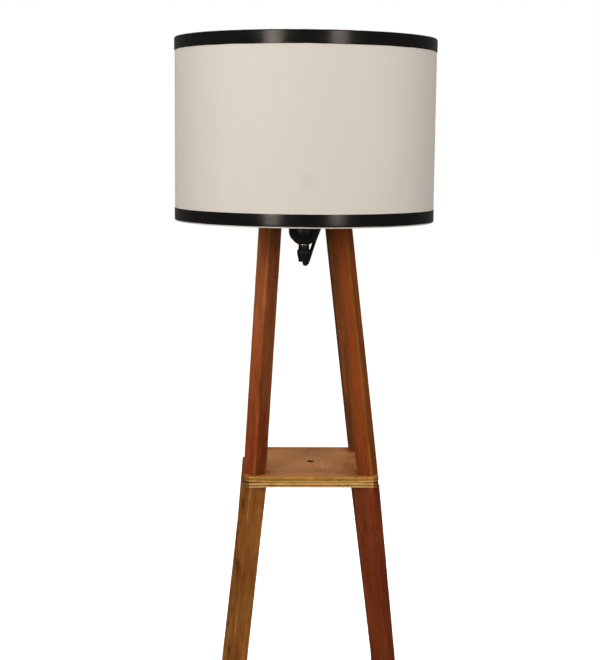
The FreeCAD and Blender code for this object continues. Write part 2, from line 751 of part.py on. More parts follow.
def clip(i, middle, along, out, long=8.0):
    """A saddle over the lead: along is the lead's way, out points off the wood."""
    along = Vector(*along).normalize()
    out = Vector(*out)
    out = (out - along * out.dot(along)).normalize()
    side = out.cross(along)
    place = Placement(FreeCAD.Matrix(
        side.x, out.x, along.x, middle[0],
        side.y, out.y, along.y, middle[1],
        side.z, out.z, along.z, middle[2],
        0, 0, 0, 1,
    ))
    wall = lead_r + 0.35
    hood = Part.makeCylinder(4.1, long, Vector(0, 0, -long / 2))
    feet = Part.makeBox(8.2, wall, long, Vector(-4.1, -wall, -long / 2))
    below = Part.makeBox(10, 6, long, Vector(-5, -wall - 6, -long / 2))
    lug = Part.makeBox(6.4, 3.0, long, Vector(3.4, -wall, -long / 2))
    lug = lug.makeFillet(1.0, [e for e in lug.Edges if abs(e.CenterOfMass.x - 9.8) < 1e-6 and abs(e.CenterOfMass.z) > 3])
    bore = Part.makeCylinder(lead_r + 0.2, long + 2, Vector(0, 0, -long / 2 - 1))
    slot = Part.makeBox(2 * lead_r + 0.4, wall + 1, long + 2, Vector(-lead_r - 0.2, -wall - 1, -long / 2 - 1))
    pin = Part.makeCylinder(0.8, 13.0, Vector(6.8, 0.4, 0), Vector(0, -1, 0))
    head = Part.makeCylinder(1.9, 0.9, Vector(6.8, 0.4, 0), Vector(0, 1, 0))
    nail = pin.fuse(head).removeSplitter()
    body = hood.cut(below).fuse(feet).fuse(lug).cut(bore).cut(slot).cut(nail).removeSplitter()
    c = plain("clip_%d" % i, body)
    c.Placement = place
    m = plain("nail_%d" % i, nail)
    m.Placement = place
    clips.append(c)
    nails.append(m)


def lead_at(test):
    """Where the lead's middle line passes a test value, and its way there."""
    line = LINES["lead_stand_length"]
    i = min(range(1, len(line) - 1), key=lambda k: test(line[k]))
    return tuple(line[i]), tuple(line[i + 1] - line[i - 1])


back = (math.cos(math.radians(98)), math.sin(math.radians(98)), 0)
under_plate, run_of = lead_at(lambda q: abs(q.x + 8.0) + (1000 if q.z < 960 or q.y < 50 else 0))
clip(0, under_plate, [-c for c in run_of], (0, 0, -1))
for i, z in enumerate((908.0, 806.0, 700.0), 1):
    clip(i, *lead_at(lambda q: abs(q.z - z)), back)
for i, z in enumerate((560.0, 450.0, 320.0, 192.0, 96.0), 4):
    clip(i, *lead_at(lambda q: abs(q.z - z)), back)
# each clip sits on the wood: its feet are dressed to the leg or the plate
wood = doc.addObject("Part::Compound", "clip_wood")
wood.Links = [plate, upper_sticks["rear_left"], lower_sticks["rear_left"]]
clip_set = doc.addObject("Part::Compound", "clip_set")
clip_set.Links = clips
keep("cord_clips", cut("cord_clips_dressed", clip_set, wood))
clip_nails = group("clip_nails", *nails)

# --------------------------------------------------------------------------
# Legs as nodes: each stick less the screws and nails that go into it
# --------------------------------------------------------------------------
for n, stick in upper_sticks.items():
    tools = [top_plate_screws, upper_leg_screws] + ([clip_nails] if n == "rear_left" else [])
    keep("upper_leg_" + n, cut("upper_cut_" + n, stick, *tools))
for n, stick in lower_sticks.items():
    tools = [lower_leg_screws, floor_glides] + ([clip_nails] if n == "rear_left" else [])
    keep("lower_leg_" + n, cut("lower_cut_" + n, stick, *tools))
# the clip under the plate nails into the plate
keep("top_plate", cut("top_plate_nailed", plate_bored, clip_nails))


# --------------------------------------------------------------------------
# Inline switch: two shells, a rocker on a pin, two screws, two reliefs
# --------------------------------------------------------------------------
def placed(obj, x, y, z, angle):
    obj.Placement = Placement(Vector(x, y, z), Rotation(Vector(0, 0, 1), angle))
    return obj


switch_screw_parts = []
for i, u in enumerate((-22.0, 22.0)):
    head = Part.makeCylinder(2.5, 1.6, Vector(u, 0, 0.7))
    shank = Part.makeCylinder(1.3, 10.0, Vector(u, 0, 2.3))
    switch_screw_parts.append(placed(plain("switch_screw_%d" % i, head.fuse(shank).removeSplitter()), SWITCH[0], SWITCH[1], 0, TURN))
group("switch_screws", *switch_screw_parts)


def shell_block(length, width, low, high, corner, rim, rim_z):
    s = Part.makeBox(length, width, high - low, Vector(-length / 2, -width / 2, low))
    s = s.makeFillet(corner, [e for e in s.Edges if abs(e.Vertexes[0].Z - e.Vertexes[-1].Z) > 1])
    return s.makeFillet(rim, [e for e in s.Edges if abs(e.BoundBox.ZMin - rim_z) < 1e-3 and e.BoundBox.ZLength < 1e-3])


lower_shell = shell_block(62, 26, 0.0, 9.0, 7.0, 1.6, 0.0)
upper_shell = shell_block(62, 26, 9.0, 17.0, 7.0, 2.2, 17.0)
well = Part.makeBox(36, 21, 7.2, Vector(-18, -10.5, 1.8))
hall = Part.makeBox(36, 21, 6.2, Vector(-18, -10.5, 9.0))
window = Part.makeBox(21.6, 11.2, 4, Vector(-10.8, -5.6, 14.6))
boss_a = Part.makeBox(5.6, 4.2, 5.4, Vector(-2.8, 6.0, 9.8))
boss_b = Part.makeBox(5.6, 4.2, 5.4, Vector(-2.8, -10.2, 9.8))
pivot_hole = Part.makeCylinder(1.26, 24, Vector(0, -12, 12.4), Vector(0, 1, 0))
screw_hole = [Part.makeCylinder(2.6, 2.3, Vector(u, 0, 0)) for u in (-22, 22)]
shank_hole = [Part.makeCylinder(1.3, 10.0, Vector(u, 0, 2.3)) for u in (-22, 22)]
entry = Part.makeCylinder(2.5, 24, Vector(-31, 0, 9.0), Vector(1, 0, 0))
for tool in [well] + screw_hole + shank_hole:
    lower_shell = lower_shell.cut(tool)
upper_shell = upper_shell.cut(hall).cut(window).fuse(boss_a).fuse(boss_b).cut(pivot_hole)
for tool in shank_hole:
    upper_shell = upper_shell.cut(tool)
keep("switch_lower_shell", placed(plain("switch_lower", lower_shell.removeSplitter()), SWITCH[0], SWITCH[1], 0, TURN))
keep("switch_upper_shell", placed(plain("switch_upper", upper_shell.removeSplitter()), SWITCH[0], SWITCH[1], 0, TURN))

# rocker: a shallow vee across a pin; at rest it lies 9 degrees over to one side
outline = [(-9.4, 14.9), (-9.1, 18.9), (0, 17.5), (9.1, 18.9), (9.4, 14.9), (4.2, 10.2), (-4.2, 10.2)]
face = Part.Face(Part.Wire(Part.makePolygon([Vector(x, -5.3, z) for x, z in outline + outline[:1]]).Edges))
rocker = face.extrude(Vector(0, 10.6, 0)).fuse(Part.makeCylinder(1.2, 18.0, Vector(0, -9.0, 12.4), Vector(0, 1, 0))).removeSplitter()
rocker.rotate(Vector(0, 0, 12.4), Vector(0, 1, 0), -9.0)
keep("switch_rocker", placed(plain("switch_rocker_wedge", rocker), SWITCH[0], SWITCH[1], 0, TURN))


def relief(name, base, along, length, r_big, r_small):
    """A tapered, ringed sleeve along a direction."""
    edge = [(0, 0), (r_big, 0)]
    steps = 5
    for i in range(steps):
        r = r_big + (r_small - r_big) * (i + 0.35) / steps
        z = length * (i + 0.35) / steps
        edge += [(r, z), (r - 0.45, z + 0.3), (r - 0.45, z + 1.3), (r - 0.05, z + 1.6)]
    edge += [(r_small, length), (0, length)]
    p = [Vector(r, 0, z) for r, z in edge]
    f = Part.Face(Part.Wire(Part.makePolygon(p + p[:1]).Edges))
    s = f.revolve(Vector(0, 0, 0), Vector(0, 0, 1), 360)
    o = plain(name, s)
    o.Placement = Placement(Vector(*base), Rotation(Vector(0, 0, 1), Vector(*along)))
    return o


wx, wy = way.x, way.y
keep("switch_relief_in", relief("relief_in", beyond(-31.0), (-wx, -wy, 0), 23.0, 4.6, 3.3))
keep("switch_relief_out", relief("relief_out", beyond(31.0), (wx, wy, 0), 23.0, 4.6, 3.3))

# --------------------------------------------------------------------------
# Plug: a flat two-pin plug lying on the floor
# --------------------------------------------------------------------------
plug_way = Vector(LEAD_C[-1][0] - LEAD_C[-2][0], LEAD_C[-1][1] - LEAD_C[-2][1], 0).normalize()
plug_angle = math.degrees(math.atan2(plug_way.y, plug_way.x))
tail = LEAD_C[-1]
keep("plug_relief", relief("plug_relief_sleeve", (tail[0] + plug_way.x * 24.0, tail[1] + plug_way.y * 24.0, tail[2]), (-plug_way.x, -plug_way.y, 0), 24.0, 4.8, 3.3))
start = Vector(tail[0] + plug_way.x * 24.0, tail[1] + plug_way.y * 24.0, 0)
# body: a waisted grip that widens to the pin face, 13.6 thick
sections = []
for u, wide, thick in ((0, 12.0, 10.4), (9, 20.0, 13.2), (24, 26.0, 13.6), (34, 35.3, 13.7), (38, 35.3, 13.7)):
    r = thick / 2 - 0.6
    half = wide / 2 - r
    zc = tail[2]
    pts = [Vector(u, -half, zc - r), Vector(u, half, zc - r), Vector(u, half, zc + r), Vector(u, -half, zc + r)]
    w = Part.Wire([
        Part.LineSegment(pts[0], pts[1]).toShape(),
        Part.Arc(pts[1], Vector(u, half + r, zc), pts[2]).toShape(),
        Part.LineSegment(pts[2], pts[3]).toShape(),
        Part.Arc(pts[3], Vector(u, -half - r, zc), pts[0]).toShape(),
    ])
    sections.append(w)
plug = Part.makeLoft(sections, True, True)
keep("plug_body", placed(plain("plug_shell", plug), start.x, start.y, 0, plug_angle))
pins = []
for i, v in enumerate((-1, 1)):
    pin = cylinder("plug_pin_%d" % i, "plug_pin", 19.0, (0, 0, 0), Rotation(Vector(0, 0, 1), plug_way))
    off = Vector(-plug_way.y, plug_way.x, 0) * (v * D["plug_pitch"] / 2)
    face_at = start + plug_way * 38.0 + off
    pin.Placement = Placement(Vector(face_at.x, face_at.y, tail[2]), Rotation(Vector(0, 0, 1), plug_way))
    pins.append(pin)
group("plug_pins", *pins)
print("plug way", [round(plug_way.x, 5), round(plug_way.y, 5)], "pin roots", [[round(c, 3) for c in q.Placement.Base] for q in pins])
print("switch", SWITCH, "turn", round(TURN, 3), "way", round(wx, 5), round(wy, 5))

# --------------------------------------------------------------------------
# Recompute, check every object and every sub-part, and write the parts
# --------------------------------------------------------------------------
doc.recompute()
for o in doc.Objects:
    if "Invalid" in o.State or "Error" in o.State:
        raise RuntimeError("%s: %s" % (o.Name, o.State))
for name, o in NODES.items():
    if o.Label != name:
        o.Label = name
    s = o.Shape
    if s.isNull() or not s.isValid() or s.Volume <= 0 or not s.Solids:
        raise RuntimeError("%s has a bad shape" % name)
os.makedirs("parts", exist_ok=True)
for name, o in NODES.items():
    o.Shape.exportStep("parts/%s.step" % name)
print(len(NODES), "nodes")
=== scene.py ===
import math

import bpy
import numpy as np
from mathutils import Matrix, Vector, noise


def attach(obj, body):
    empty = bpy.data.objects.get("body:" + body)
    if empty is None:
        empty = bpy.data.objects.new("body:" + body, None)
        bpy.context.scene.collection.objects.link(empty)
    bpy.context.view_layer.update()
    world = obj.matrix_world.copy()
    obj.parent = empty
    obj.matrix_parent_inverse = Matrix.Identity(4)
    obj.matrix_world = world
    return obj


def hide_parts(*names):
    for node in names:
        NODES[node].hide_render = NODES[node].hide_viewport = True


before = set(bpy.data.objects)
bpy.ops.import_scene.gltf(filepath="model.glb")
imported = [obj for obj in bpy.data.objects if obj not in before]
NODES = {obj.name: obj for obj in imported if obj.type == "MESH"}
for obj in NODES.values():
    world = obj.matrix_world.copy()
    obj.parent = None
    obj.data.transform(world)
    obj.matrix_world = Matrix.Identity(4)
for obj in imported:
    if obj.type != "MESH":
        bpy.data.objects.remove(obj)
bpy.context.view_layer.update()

TAU = 2 * math.pi


def rad(degrees):
    return math.radians(degrees)


def mm(points):
    """Points in millimetres as points in metres."""
    return [tuple(c / 1000.0 for c in p) for p in points]


# ---------------------------------------------------------------------------
# Camera: in front of the lamp, a little above the shade's lower edge, looking
# down by 7.9 degrees, and rolled by half a degree
# ---------------------------------------------------------------------------
pitch, roll = rad(7.91), rad(0.55)
forward = Vector((0, math.cos(pitch), -math.sin(pitch)))
right = Vector((1, 0, 0))
above = Vector((0, math.sin(pitch), math.cos(pitch)))
axis_x = right * math.cos(roll) + above * math.sin(roll)
axis_y = -right * math.sin(roll) + above * math.cos(roll)
cam_data = bpy.data.cameras.new("camera")
cam_data.sensor_width = 36.0
cam_data.lens = 74.93
cam_data.clip_start = 0.05
cam_data.clip_end = 100
camera = bpy.data.objects.new("camera", cam_data)
spin = Matrix((axis_x, axis_y, -forward)).transposed()
camera.matrix_world = Matrix.Translation((-0.0042, -1.8934, 1.0857)) @ spin.to_4x4()
bpy.context.scene.collection.objects.link(camera)
bpy.context.scene.camera = camera
bpy.context.scene.view_settings.view_transform = "Standard"
bpy.context.scene.view_settings.look = "None"


# ---------------------------------------------------------------------------
# Lead: a round black flex, one smooth line down the stand and one through the coil to the plug
# ---------------------------------------------------------------------------
def flex(name, points, radius):
    data = bpy.data.curves.new(name, "CURVE")
    data.dimensions = "3D"
    data.resolution_u = 8
    data.bevel_depth = radius
    data.bevel_resolution = 5
    data.use_fill_caps = True
    line = data.splines.new("NURBS")
    line.points.add(len(points) - 1)
    for p, q in zip(line.points, points):
        p.co = (q[0], q[1], q[2], 1.0)
    line.order_u = 3
    line.use_endpoint_u = True
    piece = bpy.data.objects.new(name, data)
    bpy.context.scene.collection.objects.link(piece)
    return piece


LEAD_STAND = [
    (0.0, 0.0, 925.6), (0.0, 0.0, 916.0), (2.6, 8.4, 912.9), (5.9, 15.6, 916.2),
    (10.2, 15.2, 931.5), (14.9, 14.6, 946.0),
    (20.6, 19.6, 960.5), (23.8, 29.5, 969.3), (18.8, 43.0, 971.6), (8.0, 54.0, 972.4), (-8.0, 60.0, 972.6),
    (-27.0, 63.2, 970.0), (-42.4, 65.4, 961.5), (-50.0, 65.1, 946.0), (-52.7, 65.1, 926.0), (-54.5, 68.2, 890.0),
    (-58.9, 72.8, 836.0), (-61.7, 78.0, 775.0), (-66.2, 82.9, 718.0), (-68.4, 86.4, 676.0), (-70.3, 95.6, 647.0),
    (-71.9, 97.9, 617.0), (-76.2, 95.2, 585.0), (-81.4, 99.9, 540.0), (-85.2, 106.0, 482.0), (-91.6, 112.7, 418.0),
    (-95.8, 119.7, 352.0), (-102.1, 126.6, 286.0), (-106.3, 133.3, 222.0), (-111.8, 139.4, 164.0),
    (-114.9, 144.2, 118.0), (-117.9, 147.8, 84.0), (-119.6, 151.0, 56.0), (-120.8, 157.0, 31.0),
    (-119.0, 165.0, 11.5), (-109.0, 171.6, 2.8), (-92.0, 174.2, 2.6), (-72.6, 170.4, 4.8), (-60.9, 161.7, 9.0),
    (-51.3, 154.5, 9.0),
]
LEAD_IN = [
    (35.3, 90.1, 9.0), (44.9, 82.9, 9.0), (56.6, 74.2, 4.8), (76.5, 60.0, 3.0), (83.3, 45.5, 2.8), (83.1, 30.0, 3.2),
]
LEAD_OUT = [
    (78.3, 0.7, 11.6), (72.5, -17.0, 8.6), (61.5, -33.5, 5.0), (46.5, -47.0, 3.2),
    (29.0, -56.2, 3.6), (14.6, -61.2, 6.3), (3.0, -64.4, 6.3),
]
COIL = (48.5, 20.0)
# the eight turns of the coil, clockwise: radius and height of each, seen from
# the first turn at the bottom to the last on top
TURNS = [(32.4, 3.0), (27.4, 3.1), (22.5, 3.2), (22.8, 7.7), (27.6, 7.6), (32.3, 7.5), (25.2, 12.2), (30.0, 12.0)]
STEPS = 16


def coil_points():
    out = []
    rng = np.random.default_rng(7)
    loose = rng.normal(0, 0.16, (len(TURNS) * STEPS, 2))
    for k, (r, z) in enumerate(TURNS):
        r1, z1 = TURNS[k + 1] if k + 1 < len(TURNS) else (31.2, 12.0)
        for i in range(STEPS):
            part = i / STEPS
            # each turn keeps its own place and steps over in its last quarter
            step = max(0.0, (part - 0.72) / 0.28)
            step = step * step * (3 - 2 * step)
            rr = (r + (r1 - r) * step) / 0.9870 + loose[k * STEPS + i, 0]
            zz = max(2.9, z + (z1 - z) * step + loose[k * STEPS + i, 1])
            a = rad(2.0) - TAU * part
            out.append((COIL[0] + rr * math.cos(a), COIL[1] + rr * math.sin(a), zz))
    # a last part of a turn carries the lead round to where it leaves
    for a in (rad(2.0),):
        rr = 31.2 / 0.9870
        out.append((COIL[0] + rr * math.cos(a), COIL[1] + rr * math.sin(a), 12.0))
    return out


lead_stand = flex("lead_stand_flex", mm(LEAD_STAND), 0.0025)
lead_coiled = flex("lead_coiled_flex", mm(LEAD_IN + coil_points() + LEAD_OUT), 0.0025)


# ---------------------------------------------------------------------------
# Meshes
# ---------------------------------------------------------------------------
def piece(name, verts, faces, sharp=35.0, attrs=None, uv=None):
    data = bpy.data.meshes.new(name)
    data.from_pydata([tuple(v) for v in verts], [], [tuple(f) for f in faces])
    data.update()
    data.shade_smooth()
    if sharp:
        data.set_sharp_from_angle(angle=rad(sharp))
    for key, values in (attrs or {}).items():
        a = data.attributes.new(key, "FLOAT", "POINT")
        a.data.foreach_set("value", np.asarray(values, np.float32))
    if uv is not None:
        layer = data.uv_layers.new(name="UVMap")
        loops = np.zeros(len(data.loops), np.int32)
        data.loops.foreach_get("vertex_index", loops)
        layer.uv.foreach_set("vector", np.asarray(uv, np.float32)[loops].ravel())
    obj = bpy.data.objects.new(name, data)
    bpy.context.scene.collection.objects.link(obj)
    return obj


def grid_faces(rows, cols, wrap_cols=True, wrap_rows=False, start=0):
    faces = []
    for i in range(rows if wrap_rows else rows - 1):
        j2 = (i + 1) % rows
        for c in range(cols if wrap_cols else cols - 1):
            c2 = (c + 1) % cols
            faces.append((start + i * cols + c, start + i * cols + c2, start + j2 * cols + c2, start + j2 * cols + c))
    return faces


class Soup:
    """Several meshes gathered into one."""

    def __init__(self):
        self.verts, self.faces = [], []

    def add(self, verts, faces):
        n = len(self.verts)
        self.verts += [tuple(v) for v in verts]
        self.faces += [tuple(i + n for i in f) for f in faces]
        return self


def turned(profile, segs=96, shape=None, centre=(0, 0), base=0.0):
    """A closed outline of (radius, height) in mm turned about the upright axis.
    shape(i, angle, r, z) may move a point of the outline."""
    verts, faces = [], []
    n = len(profile)
    for i, (r, z) in enumerate(profile):
        for k in range(segs):
            a = TAU * k / segs
            rr, zz = (r, z) if shape is None else shape(i, a, r, z)
            verts.append(((centre[0] + rr * math.cos(a)) / 1000, (centre[1] + rr * math.sin(a)) / 1000, (base + zz) / 1000))
    for i in range(n):
        j = (i + 1) % n
        if profile[i][0] < 1e-6 and profile[j][0] < 1e-6:
            continue
        for k in range(segs):
            k2 = (k + 1) % segs
            faces.append((i * segs + k, i * segs + k2, j * segs + k2, j * segs + k))
    return weld(verts, faces)


def weld(verts, faces, grain=1e-7):
    """Points that fall together become one, and faces lose their doubled corners."""
    seen, remap, out = {}, [], []
    for v in verts:
        key = (round(v[0] / grain), round(v[1] / grain), round(v[2] / grain))
        if key not in seen:
            seen[key] = len(out)
            out.append(v)
        remap.append(seen[key])
    kept = []
    for f in faces:
        g = []
        for i in f:
            j = remap[i]
            if not g or g[-1] != j:
                g.append(j)
        if len(g) > 1 and g[0] == g[-1]:
            g.pop()
        if len(set(g)) == len(g) and len(g) > 2:
            kept.append(tuple(g))
    return out, kept


def outward(verts, faces):
    """Faces turned so that the closed surface holds a positive volume."""
    v = np.array(verts, float)
    total = 0.0
    for f in faces:
        for i in range(1, len(f) - 1):
            total += float(np.dot(v[f[0]], np.cross(v[f[i]], v[f[i + 1]])))
    return (verts, faces) if total > 0 else (verts, [tuple(reversed(f)) for f in faces])


def arc(a, m, b, n):
    """n + 1 points on the arc from a through m to b."""
    (x1, y1), (x2, y2), (x3, y3) = a, m, b
    d = 2 * (x1 * (y2 - y3) + x2 * (y3 - y1) + x3 * (y1 - y2))
    ux = ((x1**2 + y1**2) * (y2 - y3) + (x2**2 + y2**2) * (y3 - y1) + (x3**2 + y3**2) * (y1 - y2)) / d
    uy = ((x1**2 + y1**2) * (x3 - x2) + (x2**2 + y2**2) * (x1 - x3) + (x3**2 + y3**2) * (x2 - x1)) / d
    r = math.hypot(x1 - ux, y1 - uy)
    t1, t2, t3 = (math.atan2(y - uy, x - ux) for x, y in (a, m, b))
    ccw = ((t2 - t1) % TAU) < ((t3 - t1) % TAU)
    sweep = (t3 - t1) % TAU if ccw else -((t1 - t3) % TAU)
    return [(ux + r * math.cos(t1 + sweep * i / n), uy + r * math.sin(t1 + sweep * i / n)) for i in range(n + 1)]


def swept(path, radius, segs=14, closed=False):
    """A round rod along points in mm."""
    p = np.array(path, float)
    n = len(p)
    if closed:
        t = np.roll(p, -1, 0) - np.roll(p, 1, 0)
    else:
        t = np.gradient(p, axis=0)
    t /= np.linalg.norm(t, axis=1)[:, None]
    up = np.array([0, 0, 1.0]) if abs(t[0][2]) < 0.9 else np.array([1.0, 0, 0])
    s = np.cross(t[0], up)
    s /= np.linalg.norm(s)
    verts = []
    for i in range(n):
        s = s - t[i] * np.dot(s, t[i])
        s /= np.linalg.norm(s)
        b = np.cross(t[i], s)
        rr = radius[i] if hasattr(radius, "__len__") else radius
        for k in range(segs):
            a = TAU * k / segs
            verts.append((p[i] + rr * (math.cos(a) * s + math.sin(a) * b)) / 1000)
    faces = grid_faces(n, segs, wrap_rows=closed)
    if not closed:
        faces.append(tuple(reversed(range(segs))))
        faces.append(tuple((n - 1) * segs + k for k in range(segs)))
    return verts, faces


def ball(centre, radii, turn=0.0, n=10, m=16):
    verts, faces = [], []
    c, s = math.cos(turn), math.sin(turn)
    for i in range(n + 1):
        t = math.pi * i / n
        for k in range(m):
            a = TAU * k / m
            x, y, z = radii[0] * math.sin(t) * math.cos(a), radii[1] * math.sin(t) * math.sin(a), radii[2] * math.cos(t)
            verts.append(((centre[0] + x * c - y * s) / 1000, (centre[1] + x * s + y * c) / 1000, (centre[2] + z) / 1000))
    return weld(verts, grid_faces(n + 1, m))


def wander(x, y=0.0, z=0.0, seed=0):
    """Smooth noise, about -1 to 1."""
    return noise.noise(Vector((x + 13.7 * seed, y + 5.1 * seed, z - 7.3 * seed))) * 1.6


# ---------------------------------------------------------------------------
# Material helpers
# ---------------------------------------------------------------------------
class Mat:
    def __init__(self, name):
        self.mat = bpy.data.materials.new(name)
        self.mat.use_nodes = True
        self.tree = self.mat.node_tree
        self.tree.nodes.clear()
        self.out = self.tree.nodes.new("ShaderNodeOutputMaterial")
        self.bsdf = self.tree.nodes.new("ShaderNodeBsdfPrincipled")
        self.tree.links.new(self.bsdf.outputs[0], self.out.inputs[0])

    def node(self, kind, **props):
        n = self.tree.nodes.new(kind)
        for k, v in props.items():
            setattr(n, k, v)
        return n

    def put(self, socket, what):
        if isinstance(what, bpy.types.NodeSocket):
            self.tree.links.new(what, socket)
        elif isinstance(what, (tuple, list)) and len(what) == 3 and socket.type == "RGBA":
            socket.default_value = (*what, 1.0)
        else:
            socket.default_value = what

    def math(self, op, a, b=0.0, c=0.0, clamp=False):
        n = self.node("ShaderNodeMath", operation=op, use_clamp=clamp)
        self.put(n.inputs[0], a)
        self.put(n.inputs[1], b)
        if len(n.inputs) > 2:
            self.put(n.inputs[2], c)
        return n.outputs[0]

    def vec(self, x, y, z):
        n = self.node("ShaderNodeCombineXYZ")
        for s, w in zip(n.inputs, (x, y, z)):
            self.put(s, w)
        return n.outputs[0]

    def split(self, v):
        n = self.node("ShaderNodeSeparateXYZ")
        self.put(n.inputs[0], v)
        return n.outputs[0], n.outputs[1], n.outputs[2]

    def scaled(self, v, s):
        n = self.node("ShaderNodeVectorMath", operation="MULTIPLY")
        self.put(n.inputs[0], v)
        self.put(n.inputs[1], s)
        return n.outputs[0]

    def plus(self, v, s):
        n = self.node("ShaderNodeVectorMath", operation="ADD")
        self.put(n.inputs[0], v)
        self.put(n.inputs[1], s)
        return n.outputs[0]

    def distance(self, v, s):
        n = self.node("ShaderNodeVectorMath", operation="DISTANCE")
        self.put(n.inputs[0], v)
        self.put(n.inputs[1], s)
        return n.outputs["Value"]

    def noise(self, v, scale=1.0, detail=2.0, rough=0.5, warp=0.0, colour=False):
        n = self.node("ShaderNodeTexNoise")
        self.put(n.inputs["Vector"], v)
        self.put(n.inputs["Scale"], scale)
        self.put(n.inputs["Detail"], detail)
        self.put(n.inputs["Roughness"], rough)
        self.put(n.inputs["Distortion"], warp)
        return n.outputs["Color"] if colour else n.outputs["Fac"]

    def cells(self, v, scale=1.0, feature="F1", out="Distance", rand=1.0):
        n = self.node("ShaderNodeTexVoronoi", feature=feature)
        self.put(n.inputs["Vector"], v)
        self.put(n.inputs["Scale"], scale)
        self.put(n.inputs["Randomness"], rand)
        return n.outputs[out]

    def range(self, x, a, b, c=0.0, d=1.0, smooth=False):
        n = self.node("ShaderNodeMapRange", interpolation_type="SMOOTHSTEP" if smooth else "LINEAR")
        self.put(n.inputs["Value"], x)
        for key, w in zip(("From Min", "From Max", "To Min", "To Max"), (a, b, c, d)):
            self.put(n.inputs[key], w)
        return n.outputs["Result"]

    def ramp(self, x, stops, how="EASE"):
        n = self.node("ShaderNodeValToRGB")
        n.color_ramp.interpolation = how
        el = n.color_ramp.elements
        while len(el) > 1:
            el.remove(el[-1])
        for i, (at, col) in enumerate(stops):
            e = el[0] if i == 0 else el.new(at)
            e.position = at
            e.color = (*col, 1.0) if len(col) == 3 else col
        self.put(n.inputs[0], x)
        return n.outputs[0]

    def mix(self, f, a, b, how="MIX"):
        n = self.node("ShaderNodeMix", data_type="RGBA", blend_type=how)
        self.put(n.inputs[0], f)
        self.put(n.inputs[6], a)
        self.put(n.inputs[7], b)
        return n.outputs[2]

    def tone(self, col, value):
        """A colour made lighter or darker by a number round 1."""
        n = self.node("ShaderNodeVectorMath", operation="SCALE")
        self.put(n.inputs[0], col)
        self.put(n.inputs["Scale"], value)
        return n.outputs[0]

    def coords(self, which="Object"):
        return self.node("ShaderNodeTexCoord").outputs[which]

    def attr(self, name):
        n = self.node("ShaderNodeAttribute", attribute_name=name)
        return n.outputs["Fac"]

    def bump(self, height, strength, distance, under=None):
        n = self.node("ShaderNodeBump")
        self.put(n.inputs["Height"], height)
        self.put(n.inputs["Strength"], strength)
        self.put(n.inputs["Distance"], distance)
        if under is not None:
            self.put(n.inputs["Normal"], under)
        return n.outputs[0]

    def set(self, **kw):
        for k, v in kw.items():
            self.put(self.bsdf.inputs[k.replace("_", " ")], v)
        return self


def srgb(r, g, b):
    """A colour given as 0 to 255 on the screen, as linear light."""
    return tuple(((c / 255 + 0.055) / 1.055) ** 2.4 if c > 10.3 else c / 255 / 12.92 for c in (r, g, b))


def give(obj, mat):
    obj.data.materials.clear()
    obj.data.materials.append(mat.mat if isinstance(mat, Mat) else mat)
    return obj


# ---------------------------------------------------------------------------
# Wood
# ---------------------------------------------------------------------------
LEGS = {
    "upper_leg_front_left": dict(top=(-45.1, -47.0), low=(-63.9, -75.6), turn=45.0, upper=True, seed=3),
    "upper_leg_front_right": dict(top=(49.6, -47.0), low=(89.7, -70.0), turn=67.2, upper=True, seed=11),
    "upper_leg_rear_right": dict(top=(40.6, 47.0), low=(80.8, 76.0), turn=8.0, upper=True, seed=17),
    "upper_leg_rear_left": dict(top=(-47.6, 47.0), low=(-69.3, 76.0), turn=8.0, upper=True, seed=23),
    "lower_leg_front_left": dict(top=(-64.7, -76.0), low=(-127.6, -140.8), turn=32.6, upper=False, seed=31),
    "lower_leg_front_right": dict(top=(89.2, -74.0), low=(152.1, -138.8), turn=65.3, upper=False, seed=41),
    "lower_leg_rear_right": dict(top=(81.9, 76.0), low=(162.4, 140.8), turn=8.0, upper=False, seed=53),
    "lower_leg_rear_left": dict(top=(-72.7, 76.0), low=(-122.1, 140.8), turn=8.0, upper=False, seed=61),
}
for spec in LEGS.values():
    spec["side"] = 22.3 if spec["upper"] else 25.4
    spec["z0"], spec["z1"] = (635.7, 976.0) if spec["upper"] else (4.0, 621.1)


